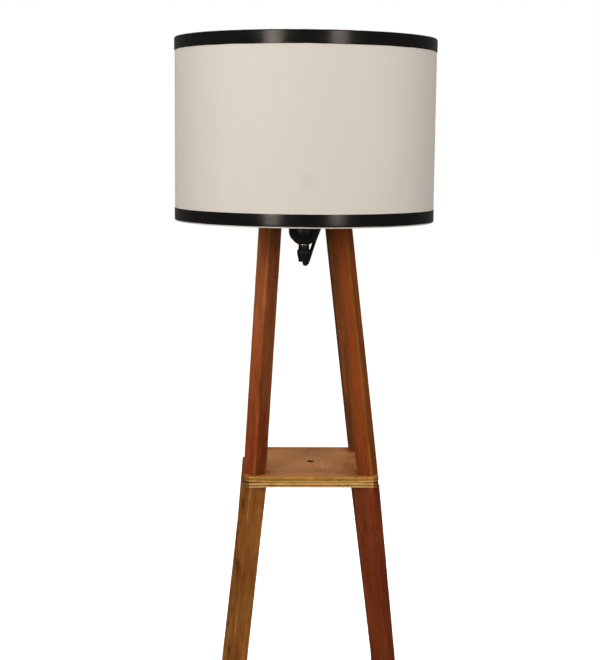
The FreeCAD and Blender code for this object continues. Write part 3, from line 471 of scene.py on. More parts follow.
def leg_mesh(name, spec):
    """A square stick with worn arrises and faces that aren't quite flat."""
    s, seed = spec["side"], spec["seed"]
    z0, z1 = spec["z0"], spec["z1"]
    n_arc, n_flat = 5, 8
    levels = [z0, z0 + 0.35, z0 + 0.9] + list(np.arange(z0 + 5, z1 - 4, 5.0)) + [z1 - 0.9, z1 - 0.35, z1]
    verts, edge, uv = [], [], []
    cols = None
    for z in levels:
        f = (z - z0) / (z1 - z0)
        cx = spec["low"][0] + (spec["top"][0] - spec["low"][0]) * f
        cy = spec["low"][1] + (spec["top"][1] - spec["low"][1]) * f
        end = min(z - z0, z1 - z)
        pull = 0.35 if end < 0.01 else (0.1 if end < 0.5 else 0.0)
        ring = []
        for k in range(4):
            wear = 0.85 + 0.38 * wander(z / 34.0, k * 3.1, 0, seed) + 0.25 * wander(z / 7.0, k * 5.3, 2, seed)
            a = min(1.7, max(0.45, wear))
            sx, sy = ((1, 1), (-1, 1), (-1, -1), (1, -1))[k]
            for i in range(n_arc + 1):
                t = rad(90 * k + 90 * i / n_arc)
                ring.append((sx * (s / 2 - a) + a * math.cos(t), sy * (s / 2 - a) + a * math.sin(t), 1.0))
            # the flat that follows the corner
            nx, ny = ((0, 1), (-1, 0), (0, -1), (1, 0))[k]
            end_a = ring[-1]
            span = s - 2.6
            for i in range(1, n_flat):
                q = -span / 2 + span * i / n_flat
                d = s / 2 + 0.07 * wander(z / 46.0, q / 9.0, k * 4.0, seed + 2) - 0.03
                if k == 0:
                    ring.append((-q, d, 0.0))
                elif k == 1:
                    ring.append((-d, -q, 0.0))
                elif k == 2:
                    ring.append((q, -d, 0.0))
                else:
                    ring.append((d, q, 0.0))
        cols = len(ring)
        t = rad(spec["turn"])
        c, sn = math.cos(t), math.sin(t)
        for j, (x, y, e) in enumerate(ring):
            r = math.hypot(x, y)
            x, y = x * (1 - pull / r), y * (1 - pull / r)
            verts.append(((cx + x * c - y * sn) / 1000, (cy + x * sn + y * c) / 1000, z / 1000))
            edge.append(e)
            uv.append((z / 1000, j / cols * 4 * s / 1000))
    faces = grid_faces(len(levels), cols)
    faces.append(tuple(reversed(range(cols))))
    faces.append(tuple((len(levels) - 1) * cols + k for k in range(cols)))
    return piece(name + "_wood", verts, faces, sharp=50.0, attrs={"arris": edge}, uv=uv)


def wood(name, place, tones, streak, seed, ring=(0.0, -0.06), pitch=0.0042, ring_dark=0.08, fibre=0.14, knots=(), light_edge=0.35,
         edge_col=None, rough=0.58, across=None, faces=(1.0, 1.0), patch=0.18, painted_shadow_top=None, smudge=(0.0, 0.0), gold=0.2, red=0.2,
         lie=False, spec_level=0.16, painted_foot_shade=None, ticks_share=0.38, grooves=None, foot_edge=0.0, drift=None):
    """Stained wood with the grain along the stick. place is (ax, bx, ay, by, turn): the
    stick's middle is at (ax + bx z, ay + by z). tones are three colours from dark to light,
    streak is the colour of the long streaks, and knots are (u, v, w, size). faces are
    how light the two front faces are, left and right, as painted light and shade and as
    the wood's own tone; smudge is how strongly each of them is marked by dark patches."""
    m = Mat(name)
    x, y, z = m.split(m.coords())
    if lie:
        x, y, z = y, z, x
    ax, bx, ay, by, turn = place
    x = m.math("SUBTRACT", x, m.math("MULTIPLY_ADD", z, bx, ax))
    y = m.math("SUBTRACT", y, m.math("MULTIPLY_ADD", z, by, ay))
    c, s = math.cos(rad(turn)), math.sin(rad(turn))
    u = m.math("ADD", m.math("MULTIPLY", x, c), m.math("MULTIPLY", y, s))
    v = m.math("SUBTRACT", m.math("MULTIPLY", y, c), m.math("MULTIPLY", x, s))
    here = m.vec(u, v, z)
    shift = (seed * 0.37, seed * 0.61, seed * 0.93)

    def at(scale, detail=3.0, rough_=0.55, warp=0.0, more=0.0):
        return m.noise(m.plus(m.scaled(here, scale), tuple(q + more for q in shift)), 1.0, detail, rough_, warp)

    broad = at((62, 62, 15), 3.0, 0.55, 0.4)
    long_ = at((170, 170, 5.0), 2.0, 0.5, 0.2)
    fine = at((760, 760, 60), 4.0, 0.62)
    hair = at((1500, 1500, 34), 2.0, 0.5)
    wob = at((9, 9, 3.1), 2.0, 0.5)
    hue = at((40, 40, 11), 3.0, 0.6, 0.5, 3.7)
    # growth rings about a heart that lies beside the stick
    hu, hv = ring
    reach = m.distance(m.vec(u, v, 0.0), (hu, hv, 0.0))
    reach = m.math("ADD", reach, m.math("MULTIPLY", m.math("SUBTRACT", wob, 0.5), 0.016))
    knot_dark, knot_push = None, None
    ragged = m.math("MULTIPLY", m.math("SUBTRACT", at((330, 330, 150), 3.0, 0.6), 0.5), 0.006)
    for (ku, kv, kw, size) in knots:
        far = m.math("ADD", m.distance(m.scaled(here, (1, 1, 0.5)), (ku, kv, kw * 0.5)), ragged)
        near = m.range(far, size * 3.2, size * 0.6, 0, 1, True)
        core = m.range(far, size * 1.3, size * 0.2, 0, 1, True)
        knot_push = near if knot_push is None else m.math("MAXIMUM", knot_push, near)
        knot_dark = core if knot_dark is None else m.math("MAXIMUM", knot_dark, core)
    if knot_push is not None:
        reach = m.math("ADD", reach, m.math("MULTIPLY", knot_push, pitch * 1.6))
    saw = m.math("FRACT", m.math("DIVIDE", reach, pitch))
    late = m.math("MULTIPLY", m.range(saw, 0.35, 0.93, 0, 1, True), m.range(saw, 1.0, 0.95, 0, 1, True))
    late = m.math("MULTIPLY", late, m.range(at((30, 30, 8), 2.0, 0.5, 0.0, 9.0), 0.35, 0.65, 0.2, 1.0))
    # colour
    tone = m.range(m.math("ADD", m.math("MULTIPLY", broad, 0.78), m.math("MULTIPLY", long_, 0.22)), 0.34, 0.66)
    col = m.ramp(tone, [(0.0, tones[0]), (0.5, tones[1]), (1.0, tones[2])], "B_SPLINE")
    if across is not None:
        # long soft bands of colour that run down one face, by place across it
        low, high, stops, share = across
        t = m.range(m.math("ADD", v, m.math("MULTIPLY", m.math("SUBTRACT", at((60, 60, 9), 3.0, 0.6, 0.3, 5.0), 0.5), 0.011)), low, high)
        band = m.ramp(t, stops, "EASE")
        band = m.tone(band, m.range(broad, 0.3, 0.7, 0.90, 1.10))
        col = m.mix(m.math("MULTIPLY", m.range(u, -0.006, -0.010, 0.25, 1.0, True), share), col, band)
    # the stain took redder in some places and more golden in others
    col = m.mix(m.math("MULTIPLY", m.range(hue, 0.46, 0.66, 0, 1, True), red), col, m.mix(1.0, col, (1.22, 0.74, 0.62), "MULTIPLY"))
    col = m.mix(m.math("MULTIPLY", m.range(hue, 0.50, 0.32, 0, 1, True), gold), col, m.mix(1.0, col, (1.10, 1.30, 1.25), "MULTIPLY"))
    lines = m.range(long_, 0.54, 0.72, 0, 1, True)
    col = m.mix(m.math("MULTIPLY", lines, 0.25), col, streak)
    ticks = m.range(hair, 0.60, 0.76, 0, 1, True)
    col = m.mix(m.math("MULTIPLY", ticks, ticks_share), col, m.mix(1.0, col, (1.45, 1.60, 1.60), "MULTIPLY"))
    pores = m.range(hair, 0.40, 0.25, 0, 1, True)
    col = m.tone(col, m.math("MULTIPLY_ADD", pores, -0.26, 1.0))
    col = m.tone(col, m.math("SUBTRACT", 1.0, m.math("MULTIPLY", late, ring_dark)))
    col = m.tone(col, m.range(fine, 0.28, 0.72, 1.0 - fibre, 1.0 + fibre))
    blot = at((30, 30, 12), 3.0, 0.6, 0.6, 7.0)
    col = m.tone(col, m.range(blot, 0.32, 0.68, 1.0 - patch, 1.0 + patch * 0.7))
    if knot_dark is not None:
        col = m.mix(m.math("MULTIPLY", knot_push, 0.34), col, tuple(q * 0.42 for q in tones[0]))
        col = m.mix(m.math("MULTIPLY", knot_dark, 0.62), col, tuple(q * 0.14 for q in tones[0]))
    # painted light and shade: the two front faces are toned apart, one darker as if less lit and the other lighter, and
    # the wood's own tone also differs between them
    gap = m.math("SUBTRACT", m.math("ABSOLUTE", u), m.math("ABSOLUTE", v))
    on_u = m.range(gap, -0.0007, 0.0007, 0, 1, True)
    left = m.math("MULTIPLY", on_u, m.range(u, 0.0, -0.001, 0, 1))
    rightf = m.math("MULTIPLY", m.math("SUBTRACT", 1.0, on_u), m.range(v, 0.0, -0.001, 0, 1))
    face_shade_l = m.math("MULTIPLY_ADD", left, faces[0] - 1.0, 1.0)
    face_shade_r = m.math("MULTIPLY_ADD", rightf, faces[1] - 1.0, 1.0)
    col = m.tone(col, m.math("MULTIPLY", face_shade_l, face_shade_r))
    if smudge[0] or smudge[1]:
        mark = m.range(at((75, 75, 34), 4.0, 0.66, 1.1, 11.0), 0.53, 0.68, 0, 1, True)
        amount = m.math("ADD", m.math("MULTIPLY", left, smudge[0]), m.math("MULTIPLY", rightf, smudge[1]))
        col = m.mix(m.math("MULTIPLY", mark, amount), col, m.mix(1.0, col, (0.50, 0.42, 0.34), "MULTIPLY"))
    if drift is not None:
        # the colour is multiplied by a tint that changes slowly up the stick
        below, over = drift
        col = m.mix(1.0, col, m.ramp(m.range(z, 0.66, 0.92), [(0.0, below), (0.5, (1.0, 1.0, 1.0)), (1.0, over)]), "MULTIPLY")
    # painted shade: the stick is darker at its foot, just above the shelf
    if painted_foot_shade is not None:
        col = m.tone(col, m.range(z, 0.636, 0.676, painted_foot_shade, 1.0, True))
    if grooves is not None:
        # open grain, rubbed dark, that runs up from the foot
        z0, z1, amount = grooves
        cut = m.range(at((900, 900, 11), 2.0, 0.5, 0.0, 13.0), 0.50, 0.60, 0, 1, True)
        col = m.tone(col, m.math("MULTIPLY_ADD", m.math("MULTIPLY", cut, m.range(z, z1, z0, 0.25, 1.0, True)), -amount, 1.0))
        rise = m.range(at((1000, 1000, 13), 2.0, 0.5, 0.0, 17.0), 0.56, 0.66, 0, 1, True)
        col = m.mix(m.math("MULTIPLY", m.math("MULTIPLY", rise, m.range(z, z1, z0, 0.2, 1.0, True)), amount), col, m.mix(1.0, col, (1.5, 1.55, 1.4), "MULTIPLY"))
    # painted shadow: the stick is darker towards its top, in the lampshade's shadow
    if painted_shadow_top is not None:
        col = m.tone(col, m.range(z, painted_shadow_top[0], painted_shadow_top[1], 1.0, painted_shadow_top[2], True))
    # worn arrises show paler wood here and there
    wear = m.math("MULTIPLY", m.attr("arris"), m.range(at((90, 90, 30), 3.0, 0.6, 0.0, 2.0), 0.45, 0.66, 0.0, 1.0, True))
    if foot_edge:
        wear = m.math("MAXIMUM", wear, m.math("MULTIPLY", m.math("MULTIPLY", m.attr("arris"), foot_edge), m.range(z, 0.676, 0.660, 0, 1, True)))
    if edge_col is None:
        edge_col = tuple(min(1.0, q * 1.9 + 0.02) for q in tones[2])
    col = m.mix(m.math("MULTIPLY", wear, light_edge), col, edge_col)
    shine = m.range(fine, 0.3, 0.7, rough - 0.07, rough + 0.09)
    height = m.math("ADD", m.math("MULTIPLY", fine, 0.7), m.math("MULTIPLY", late, -0.35))
    m.set(Base_Color=col, Roughness=shine, Normal=m.bump(height, 0.22, 0.0004))
    m.bsdf.inputs["Specular IOR Level"].default_value = spec_level
    return m


def place_of(spec):
    dz = (spec["z1"] - spec["z0"]) / 1000
    bx = (spec["top"][0] - spec["low"][0]) / 1000 / dz
    by = (spec["top"][1] - spec["low"][1]) / 1000 / dz
    return (spec["low"][0] / 1000 - bx * spec["z0"] / 1000, bx, spec["low"][1] / 1000 - by * spec["z0"] / 1000, by, spec["turn"])


UMBER = (srgb(112, 60, 24), srgb(134, 76, 32), srgb(152, 94, 44))

# faces paints light and shade on each leg's two front faces, together with the wood's own tone
FINISH = {
    # the two front upper legs are painted darker at their feet, as shade where they meet the shelf
    "upper_leg_front_left": dict(tones=(srgb(126, 62, 26), srgb(146, 77, 34), srgb(162, 92, 46)), streak=srgb(166, 90, 44), ring=(0.03, -0.05), pitch=0.0050,
                                 light_edge=0.40, edge_col=srgb(178, 108, 62), faces=(1.0, 0.70), patch=0.16, red=0.40, gold=0.30, painted_foot_shade=0.80, foot_edge=0.8, drift=((0.94, 0.76, 0.70), (1.08, 1.24, 1.55))),
    # the front-right leg below is painted darker near its top, as the lampshade's shadow
    "upper_leg_front_right": dict(tones=(srgb(116, 58, 20), srgb(142, 70, 22), srgb(156, 88, 30)), streak=srgb(156, 74, 22), ring=(-0.05, 0.02), pitch=0.0034, light_edge=0.24,
                                  across=(0.01115, -0.01115, [(0.0, srgb(100, 52, 14)), (0.15, srgb(116, 60, 14)), (0.52, srgb(140, 64, 14)), (0.82, srgb(136, 68, 14)), (0.92, srgb(144, 82, 22)), (1.0, srgb(132, 70, 20))], 0.9),
                                  faces=(1.0, 1.0), patch=0.12, fibre=0.20, painted_shadow_top=(0.86, 0.97, 0.74), red=0.18, gold=0.10, painted_foot_shade=0.86, ticks_share=0.55, grooves=(0.650, 0.720, 0.42), drift=((1.10, 1.04, 0.84), (1.18, 1.06, 0.84))),
    "upper_leg_rear_right": dict(tones=(srgb(94, 46, 17), srgb(111, 57, 21), srgb(125, 68, 27)), streak=srgb(118, 60, 22), ring=(0.02, 0.06), pitch=0.0045, light_edge=0.3),
    "upper_leg_rear_left": dict(tones=UMBER, streak=srgb(130, 72, 32), ring=(-0.03, 0.05), pitch=0.0045, light_edge=0.3),
    "lower_leg_front_left": dict(tones=(srgb(126, 72, 26), srgb(150, 90, 36), srgb(164, 104, 46)), streak=srgb(168, 108, 44), ring=(0.05, 0.03), pitch=0.0040, light_edge=0.34,
                                 faces=(0.92, 1.0), patch=0.20, fibre=0.15, smudge=(1.0, 0.30), gold=0.50, red=0.12, ticks_share=0.28,
                                 knots=((-0.0127, 0.002, 0.598, 0.0042), (-0.0127, -0.002, 0.512, 0.0046), (-0.0127, -0.003, 0.398, 0.0040), (-0.0127, 0.003, 0.240, 0.0046))),
    "lower_leg_front_right": dict(tones=(srgb(98, 38, 11), srgb(114, 48, 15), srgb(126, 58, 20)), streak=srgb(130, 56, 17), ring=(0.03, -0.06), pitch=0.0052, light_edge=0.14,
                                  faces=(1.0, 1.24), patch=0.18, fibre=0.11, smudge=(0.45, 0.35), red=0.2, gold=0.25, ticks_share=0.22,
                                  knots=((-0.0127, 0.003, 0.160, 0.0036),)),
    "lower_leg_rear_right": dict(tones=(srgb(122, 60, 18), srgb(142, 74, 24), srgb(156, 88, 32)), streak=srgb(146, 74, 26), ring=(0.04, 0.05), pitch=0.0044, light_edge=0.3, smudge=(0.3, 0.3)),
    "lower_leg_rear_left": dict(tones=(srgb(108, 64, 24), srgb(132, 80, 34), srgb(148, 96, 44)), streak=srgb(140, 88, 38), ring=(-0.05, 0.03), pitch=0.0042, light_edge=0.32, smudge=(0.4, 0.4),
                                knots=((-0.0127, 0.0, 0.56, 0.0035), (-0.0127, 0.002, 0.33, 0.004), (0.0, 0.0127, 0.42, 0.004))),
}

for name, spec in LEGS.items():
    stick = leg_mesh(name, spec)
    give(stick, wood(name + "_stain", place_of(spec), seed=spec["seed"], **FINISH[name]))
    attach(stick, "stand")
    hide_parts(name)

# top plate: its own grain, across the lamp
plate_wood = wood("top_plate_stain", (0.0, 0.0, 0.0, 0.0, 0.0), tones=(srgb(120, 66, 28), srgb(142, 82, 36), srgb(160, 98, 48)),
                  streak=srgb(150, 86, 40), seed=71, ring=(0.16, 0.99), pitch=0.006, ring_dark=0.12, light_edge=0.0, lie=True)
give(NODES["top_plate"], plate_wood)


# ---------------------------------------------------------------------------
# Shelf: two plywood boards with rounded corners and a hole through both
# ---------------------------------------------------------------------------
BOARD_C, BOARD_TURN, BOARD_HALF, BOARD_ROUND = (10.2, 0.5), rad(1.8), 91.25, 8.0
HOLE = (12.1, 1.2)
FEET = ((89.7, -52.0, 46.0, 0.40), (-63.9, -75.6, 32.0, 0.8), (80.8, 76.0, 28.0, 0.8), (-69.3, 76.0, 22.0, 1.0))


def board_outline(inset=0.0):
    """The board's outline, anticlockwise, in the board's own axes."""
    h, r = BOARD_HALF - inset, BOARD_ROUND - inset
    pts = []
    for k, (sx, sy) in enumerate(((1, 1), (-1, 1), (-1, -1), (1, -1))):
        for i in range(11):
            t = rad(90 * k + 90 * i / 10)
            pts.append((sx * (h - r) + r * math.cos(t), sy * (h - r) + r * math.sin(t)))
        nx, ny = pts[-1]
        sx2, sy2 = ((-1, 1), (-1, -1), (1, -1), (1, 1))[k]
        t = rad(90 * (k + 1))
        ex, ey = sx2 * (h - r) + r * math.cos(t), sy2 * (h - r) + r * math.sin(t)
        for i in range(1, 26):
            pts.append((nx + (ex - nx) * i / 26, ny + (ey - ny) * i / 26))
    return pts


def board_mesh(name, z0, z1, bow, seed):
    c, s = math.cos(BOARD_TURN), math.sin(BOARD_TURN)
    hx, hy = HOLE[0] - BOARD_C[0], HOLE[1] - BOARD_C[1]
    hole = (hx * c + hy * s, -hx * s + hy * c)
    outer = board_outline()
    n = len(outer)
    way = [(math.cos(math.atan2(y - hole[1], x - hole[0])), math.sin(math.atan2(y - hole[1], x - hole[0]))) for x, y in outer]
    rings = []  # (list of xy, z offset kind, ply)
    thick = z1 - z0

    def circle(r):
        return [(hole[0] + r * wx, hole[1] + r * wy) for wx, wy in way]

    def blend(f):
        a = circle(5.1)
        b = board_outline(0.45)
        return [(p[0] + (q[0] - p[0]) * f, p[1] + (q[1] - p[1]) * f) for p, q in zip(a, b)]

    rows = []
    # up the hole's wall, out over the top, down the edge, back under
    for f in (0.04, 0.2, 0.4, 0.6, 0.8, 0.96):
        rows.append((circle(4.5), z0 + thick * f, f))
    rows.append((circle(4.62), z1 - 0.06, 0.99))
    rows.append((circle(5.1), z1, 1.0))
    for f in (0.04, 0.1, 0.18, 0.28, 0.4, 0.52, 0.64, 0.76, 0.86, 0.94):
        rows.append((blend(f), z1, 1.0))
    rows.append((board_outline(0.45), z1, 1.0))
    rows.append((board_outline(0.13), z1 - 0.13, 0.985))
    for f in (0.94, 0.82, 0.7, 0.58, 0.46, 0.34, 0.22, 0.1):
        rows.append((outer, z0 + thick * f, f))
    rows.append((board_outline(0.13), z0 + 0.13, 0.015))
    rows.append((board_outline(0.45), z0, 0.0))
    for f in (0.94, 0.86, 0.76, 0.64, 0.52, 0.4, 0.28, 0.18, 0.1, 0.04):
        rows.append((blend(f), z0, 0.0))
    rows.append((circle(5.1), z0, 0.0))
    verts, ply, uv = [], [], []
    for pts, z, p in rows:
        for (x, y) in pts:
            gx, gy = BOARD_C[0] + x * c - y * s, BOARD_C[1] + x * s + y * c
            edge = max(abs(x), abs(y)) / BOARD_HALF
            # the sawn edge is a little uneven
            k = 0.10 * wander(x / 26.0, y / 26.0, z / 4.0, seed) * max(0.0, edge - 0.97) * 30
            q = max(abs(x), abs(y)) or 1
            gx -= abs(k) * (x / q) * 0.8
            gy -= abs(k) * (y / q) * 0.8
            verts.append((gx / 1000, gy / 1000, (z + bow(x, y)) / 1000))
            ply.append(p)
            uv.append((x / 1000, y / 1000))
    return piece(name, verts, grid_faces(len(rows), n, wrap_rows=True), sharp=40.0, attrs={"ply": ply}, uv=uv)


def lift(x, y):
    """How far the two boards part near their ends, from 0 to 1."""
    left, right_ = max(0.0, (-x - 56.0) / 35.0), max(0.0, (x - 72.0) / 19.0)
    return min(1.0, left) ** 1.1 * 0.95 + min(1.0, right_) ** 1.1 * 0.70


def plywood(name, seed, warm, bands_, shaded_glue_side, corner_shade_tint):
    """Plywood: face veneer, plies along the edge, and a raw face on the side that is
    glued to the other board, painted dark as shade (hidden is 1 when that is the top, -1 when it is below)."""
    m = Mat(name)
    p = m.coords()
    x, y, z = m.split(p)
    shift = (seed * 0.7, seed * 1.3, seed * 0.3)
    here = m.plus(p, tuple(v * 0.1 for v in shift))
    ply = m.attr("ply")
    wob = m.noise(m.scaled(here, (46, 46, 20)), 1.0, 3.0, 0.55)
    level = m.math("ADD", ply, m.math("MULTIPLY", m.math("SUBTRACT", wob, 0.5), 0.13))
    pale, mid, dark = srgb(224, 176, 106), srgb(179, 125, 47), srgb(150, 95, 29)
    table = {"p": pale, "m": mid, "d": dark, "g": srgb(112, 66, 18)}
    bands = m.ramp(level, [(at, table[k]) for at, k in bands_], "LINEAR")
    # end grain in the cross plies, long grain in the others
    pores = m.noise(m.scaled(here, (900, 900, 500)), 1.0, 2.0, 0.6)
    drag = m.noise(m.scaled(here, (60, 60, 1400)), 1.0, 3.0, 0.6)
    blot = m.noise(m.scaled(here, (85, 85, 50)), 1.0, 3.0, 0.6)
    side = m.tone(bands, m.range(m.math("ADD", m.math("MULTIPLY", pores, 0.45), m.math("MULTIPLY", drag, 0.55)), 0.3, 0.7, 0.84, 1.14))
    side = m.tone(side, m.range(blot, 0.3, 0.7, 0.76, 1.16))
    # dark gaps in the core
    nick = m.noise(m.scaled(here, (150, 150, 30)), 1.0, 3.0, 0.6)
    core = m.math("MULTIPLY", m.range(level, 0.34, 0.40, 0, 1, True), m.range(level, 0.50, 0.45, 0, 1, True))
    side = m.mix(m.math("MULTIPLY", core, m.range(nick, 0.52, 0.64, 0.0, 0.85, True)), side, srgb(52, 26, 8))
    # painted shade: the rounded corners are darkened, as they turn away from the light
    cb, sb = math.cos(BOARD_TURN), math.sin(BOARD_TURN)
    px = m.math("SUBTRACT", x, BOARD_C[0] / 1000)
    py = m.math("SUBTRACT", y, BOARD_C[1] / 1000)
    ex = m.math("ABSOLUTE", m.math("ADD", m.math("MULTIPLY", px, cb), m.math("MULTIPLY", py, sb)))
    ey = m.math("ABSOLUTE", m.math("SUBTRACT", m.math("MULTIPLY", py, cb), m.math("MULTIPLY", px, sb)))
    shaded_corner_mask = m.math("SUBTRACT", m.math("MINIMUM", ex, ey), (BOARD_HALF - BOARD_ROUND) / 1000)
    shaded_corner_mask = m.math("ADD", shaded_corner_mask, m.math("MULTIPLY", m.math("SUBTRACT", m.noise(m.scaled(here, (260, 260, 340)), 1.0, 2.0, 0.6), 0.5), 0.0022))
    side = m.mix(m.range(shaded_corner_mask, 0.0002, 0.0011, 0, 1, True), side, m.mix(1.0, side, corner_shade_tint, "MULTIPLY"))
    # face veneer: quiet figure, grain running from side to side
    slow = m.noise(m.scaled(here, (6, 26, 6)), 1.0, 3.0, 0.55, 0.6)
    hair = m.noise(m.scaled(here, (60, 700, 60)), 1.0, 3.0, 0.6)
    cloud = m.noise(m.scaled(here, (46, 60, 46)), 1.0, 5.0, 0.68)
    speck = m.noise(m.scaled(here, (420, 640, 420)), 1.0, 2.0, 0.5)
    fig = m.math("FRACT", m.math("MULTIPLY", m.math("ADD", slow, m.math("MULTIPLY", y, 3.5)), 6.0))
    fig = m.math("MULTIPLY", m.range(fig, 0.2, 0.9, 0, 1, True), m.range(fig, 1.0, 0.92, 0, 1, True))
    top = m.ramp(m.range(m.math("ADD", m.math("MULTIPLY", slow, 0.22), m.math("MULTIPLY", cloud, 0.78)), 0.36, 0.64), [(0.0, warm[0]), (0.5, warm[1]), (1.0, warm[2])], "B_SPLINE")
    top = m.mix(m.math("MULTIPLY", m.range(cloud, 0.52, 0.70, 0, 1, True), 0.30), top, m.mix(1.0, top, (1.08, 0.84, 0.78), "MULTIPLY"))
    top = m.tone(top, m.math("SUBTRACT", 1.0, m.math("MULTIPLY", fig, 0.05)))
    top = m.tone(top, m.range(hair, 0.3, 0.7, 0.90, 1.08))
    top = m.tone(top, m.math("MULTIPLY_ADD", m.range(speck, 0.68, 0.80, 0, 1, True), -0.30, 1.0))
    # short scratches and rub marks, thicker in some places
    where = m.range(m.noise(m.scaled(here, (24, 15, 20)), 1.0, 2.0, 0.6), 0.44, 0.62, 0.1, 1.0, True)
    light = m.range(m.noise(m.scaled(here, (330, 24, 200)), 1.0, 3.0, 0.6, 0.5), 0.56, 0.64, 0, 1, True)
    deep = m.range(m.noise(m.plus(m.scaled(here, (300, 28, 200)), (4.0, 7.0, 1.0)), 1.0, 3.0, 0.6, 0.5), 0.57, 0.65, 0, 1, True)
    top = m.mix(m.math("MULTIPLY", m.math("MULTIPLY", light, where), 0.62), top, m.mix(1.0, top, (1.42, 1.48, 1.55), "MULTIPLY"))
    top = m.mix(m.math("MULTIPLY", m.math("MULTIPLY", deep, where), 0.62), top, m.mix(1.0, top, (0.66, 0.60, 0.55), "MULTIPLY"))
    # redder stain that ran off the legs beside their feet
    for fx, fy, size, squeeze in FEET:
        ran = m.distance(m.vec(x, m.math("MULTIPLY", y, squeeze), 0.0), (fx / 1000, fy * squeeze / 1000, 0.0))
        ran = m.math("ADD", ran, m.math("MULTIPLY", m.math("SUBTRACT", cloud, 0.5), 0.040))
        top = m.mix(m.math("MULTIPLY", m.range(ran, size / 1000, size / 2000, 0, 1, True), 0.75), top, m.mix(1.0, top, (0.86, 0.66, 0.56), "MULTIPLY"))
    # the stain is redder along the front edge
    top = m.mix(m.math("MULTIPLY", m.range(y, -0.066, -0.086, 0, 1, True), 0.35), top, m.mix(1.0, top, (1.04, 0.82, 0.74), "MULTIPLY"))
    nx, ny, nz = m.split(m.node("ShaderNodeNewGeometry").outputs["Normal"])
    flat = m.range(m.math("ABSOLUTE", nz), 0.75, 0.92, 0, 1, True)
    col = m.mix(flat, side, top)
    # painted shade: the glued faces show only in the gap at the ends, and are painted dark as the shade inside the gap
    inner = m.range(m.math("MULTIPLY", nz, shaded_glue_side), 0.75, 0.92, 0, 1, True)
    col = m.mix(inner, col, srgb(46, 24, 10))
    # painted shade: the hole's wall is painted near black, and the wood round its mouth darker, as shade falls into the
    # hole
    hx, hy = HOLE[0] / 1000, HOLE[1] / 1000
    out = m.distance(m.vec(x, y, 0.0), (hx, hy, 0.0))
    col = m.mix(m.range(out, 0.00462, 0.00450, 0, 1), col, srgb(34, 20, 12))
    col = m.tone(col, m.range(out, 0.0051, 0.0056, 0.16, 1.0, True))
    col = m.tone(col, m.range(out, 0.0055, 0.0080, 0.84, 1.0, True))
    height = m.math("ADD", m.math("MULTIPLY", hair, 0.5), m.math("MULTIPLY", pores, 0.4))
    m.set(Base_Color=col, Roughness=m.range(cloud, 0.3, 0.7, 0.46, 0.60), Normal=m.bump(height, 0.14, 0.0003))
    m.bsdf.inputs["Specular IOR Level"].default_value = 0.14
    return m


VENEER = (srgb(174, 116, 65), srgb(183, 124, 72), srgb(192, 133, 79))
upper = board_mesh("shelf_upper_plywood", 628.5, 635.7, lambda x, y: lift(x, y), 3)
give(upper, plywood("plywood_upper", 4.1, VENEER,
     [(0.0, "p"), (0.20, "p"), (0.27, "d"), (0.34, "m"), (0.56, "m"), (0.62, "d"), (0.70, "m"), (0.80, "p"), (0.92, "m"), (1.0, "d")], -1, (0.60, 0.50, 0.40)))
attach(upper, "stand")
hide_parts("shelf_upper_board")
lower = board_mesh("shelf_lower_plywood", 621.1, 628.5, lambda x, y: -0.85 * lift(x, y), 8)
give(lower, plywood("plywood_lower", 9.7, VENEER,
     [(0.0, "m"), (0.06, "p"), (0.28, "p"), (0.35, "g"), (0.47, "d"), (0.55, "p"), (0.78, "p"), (0.86, "m"), (1.0, "m")], 1, (0.34, 0.30, 0.24)))
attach(lower, "stand")
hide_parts("shelf_lower_board")


# ---------------------------------------------------------------------------
# Plain materials
# ---------------------------------------------------------------------------
def plastic(name, col, rough, spec=0.5, grain=0.0, grain_size=1600.0, vary=0.06, coat=0.0):
    m = Mat(name)
    p = m.coords()
    soft = m.noise(m.scaled(p, (70, 70, 70)), 1.0, 3.0, 0.55)
    m.set(Base_Color=m.tone(m.ramp(soft, [(0.0, col), (1.0, col)]), m.range(soft, 0.3, 0.7, 1 - vary, 1 + vary)),
          Roughness=m.range(soft, 0.3, 0.7, rough - 0.04, rough + 0.05))
    m.bsdf.inputs["Specular IOR Level"].default_value = spec
    if coat:
        m.bsdf.inputs["Coat Weight"].default_value = coat
        m.bsdf.inputs["Coat Roughness"].default_value = 0.12
    if grain:
        m.set(Normal=m.bump(m.noise(m.scaled(p, (grain_size,) * 3), 1.0, 2.0, 0.5), grain, 0.0002))
    return m


def metal(name, col, rough, scratch=0.25, dull=0.12):
    m = Mat(name)
    p = m.coords()
    soft = m.noise(m.scaled(p, (160, 160, 160)), 1.0, 3.0, 0.6)
    fine = m.noise(m.scaled(p, (2200, 2200, 500)), 1.0, 2.0, 0.5)
    m.set(Base_Color=m.tone(m.ramp(soft, [(0.0, col), (1.0, col)]), m.range(soft, 0.3, 0.75, 1.0, 1.0 - dull)),
          Roughness=m.range(soft, 0.3, 0.75, rough, rough + 0.16), Metallic=1.0,
          Normal=m.bump(fine, scratch, 0.00005))
    return m


zinc = metal("zinc_steel_finish", (0.62, 0.63, 0.64), 0.30)
nickel = metal("nickel_finish", (0.80, 0.78, 0.74), 0.20)
brass = metal("brass_finish", (0.72, 0.55, 0.25), 0.26)
aluminium = metal("bulb_aluminium_finish", (0.80, 0.80, 0.80), 0.28)
solder = metal("solder_finish", (0.55, 0.55, 0.55), 0.36, dull=0.25)
bakelite = plastic("holder_black_finish", (0.010, 0.0092, 0.0088), 0.36, 0.30, grain=0.05, grain_size=500, vary=0.1)
ceramic = plastic("insulator_white_finish", (0.78, 0.77, 0.73), 0.30, 0.5, grain=0.04)
bulb_black = plastic("bulb_black_glass_finish", (0.015, 0.014, 0.016), 0.12, 0.5)
glide = plastic("glide_plastic_finish", (0.20, 0.17, 0.14), 0.45, 0.4, grain=0.2)
clip_black = plastic("clip_black_finish", (0.016, 0.016, 0.016), 0.38, 0.45, grain=0.12)
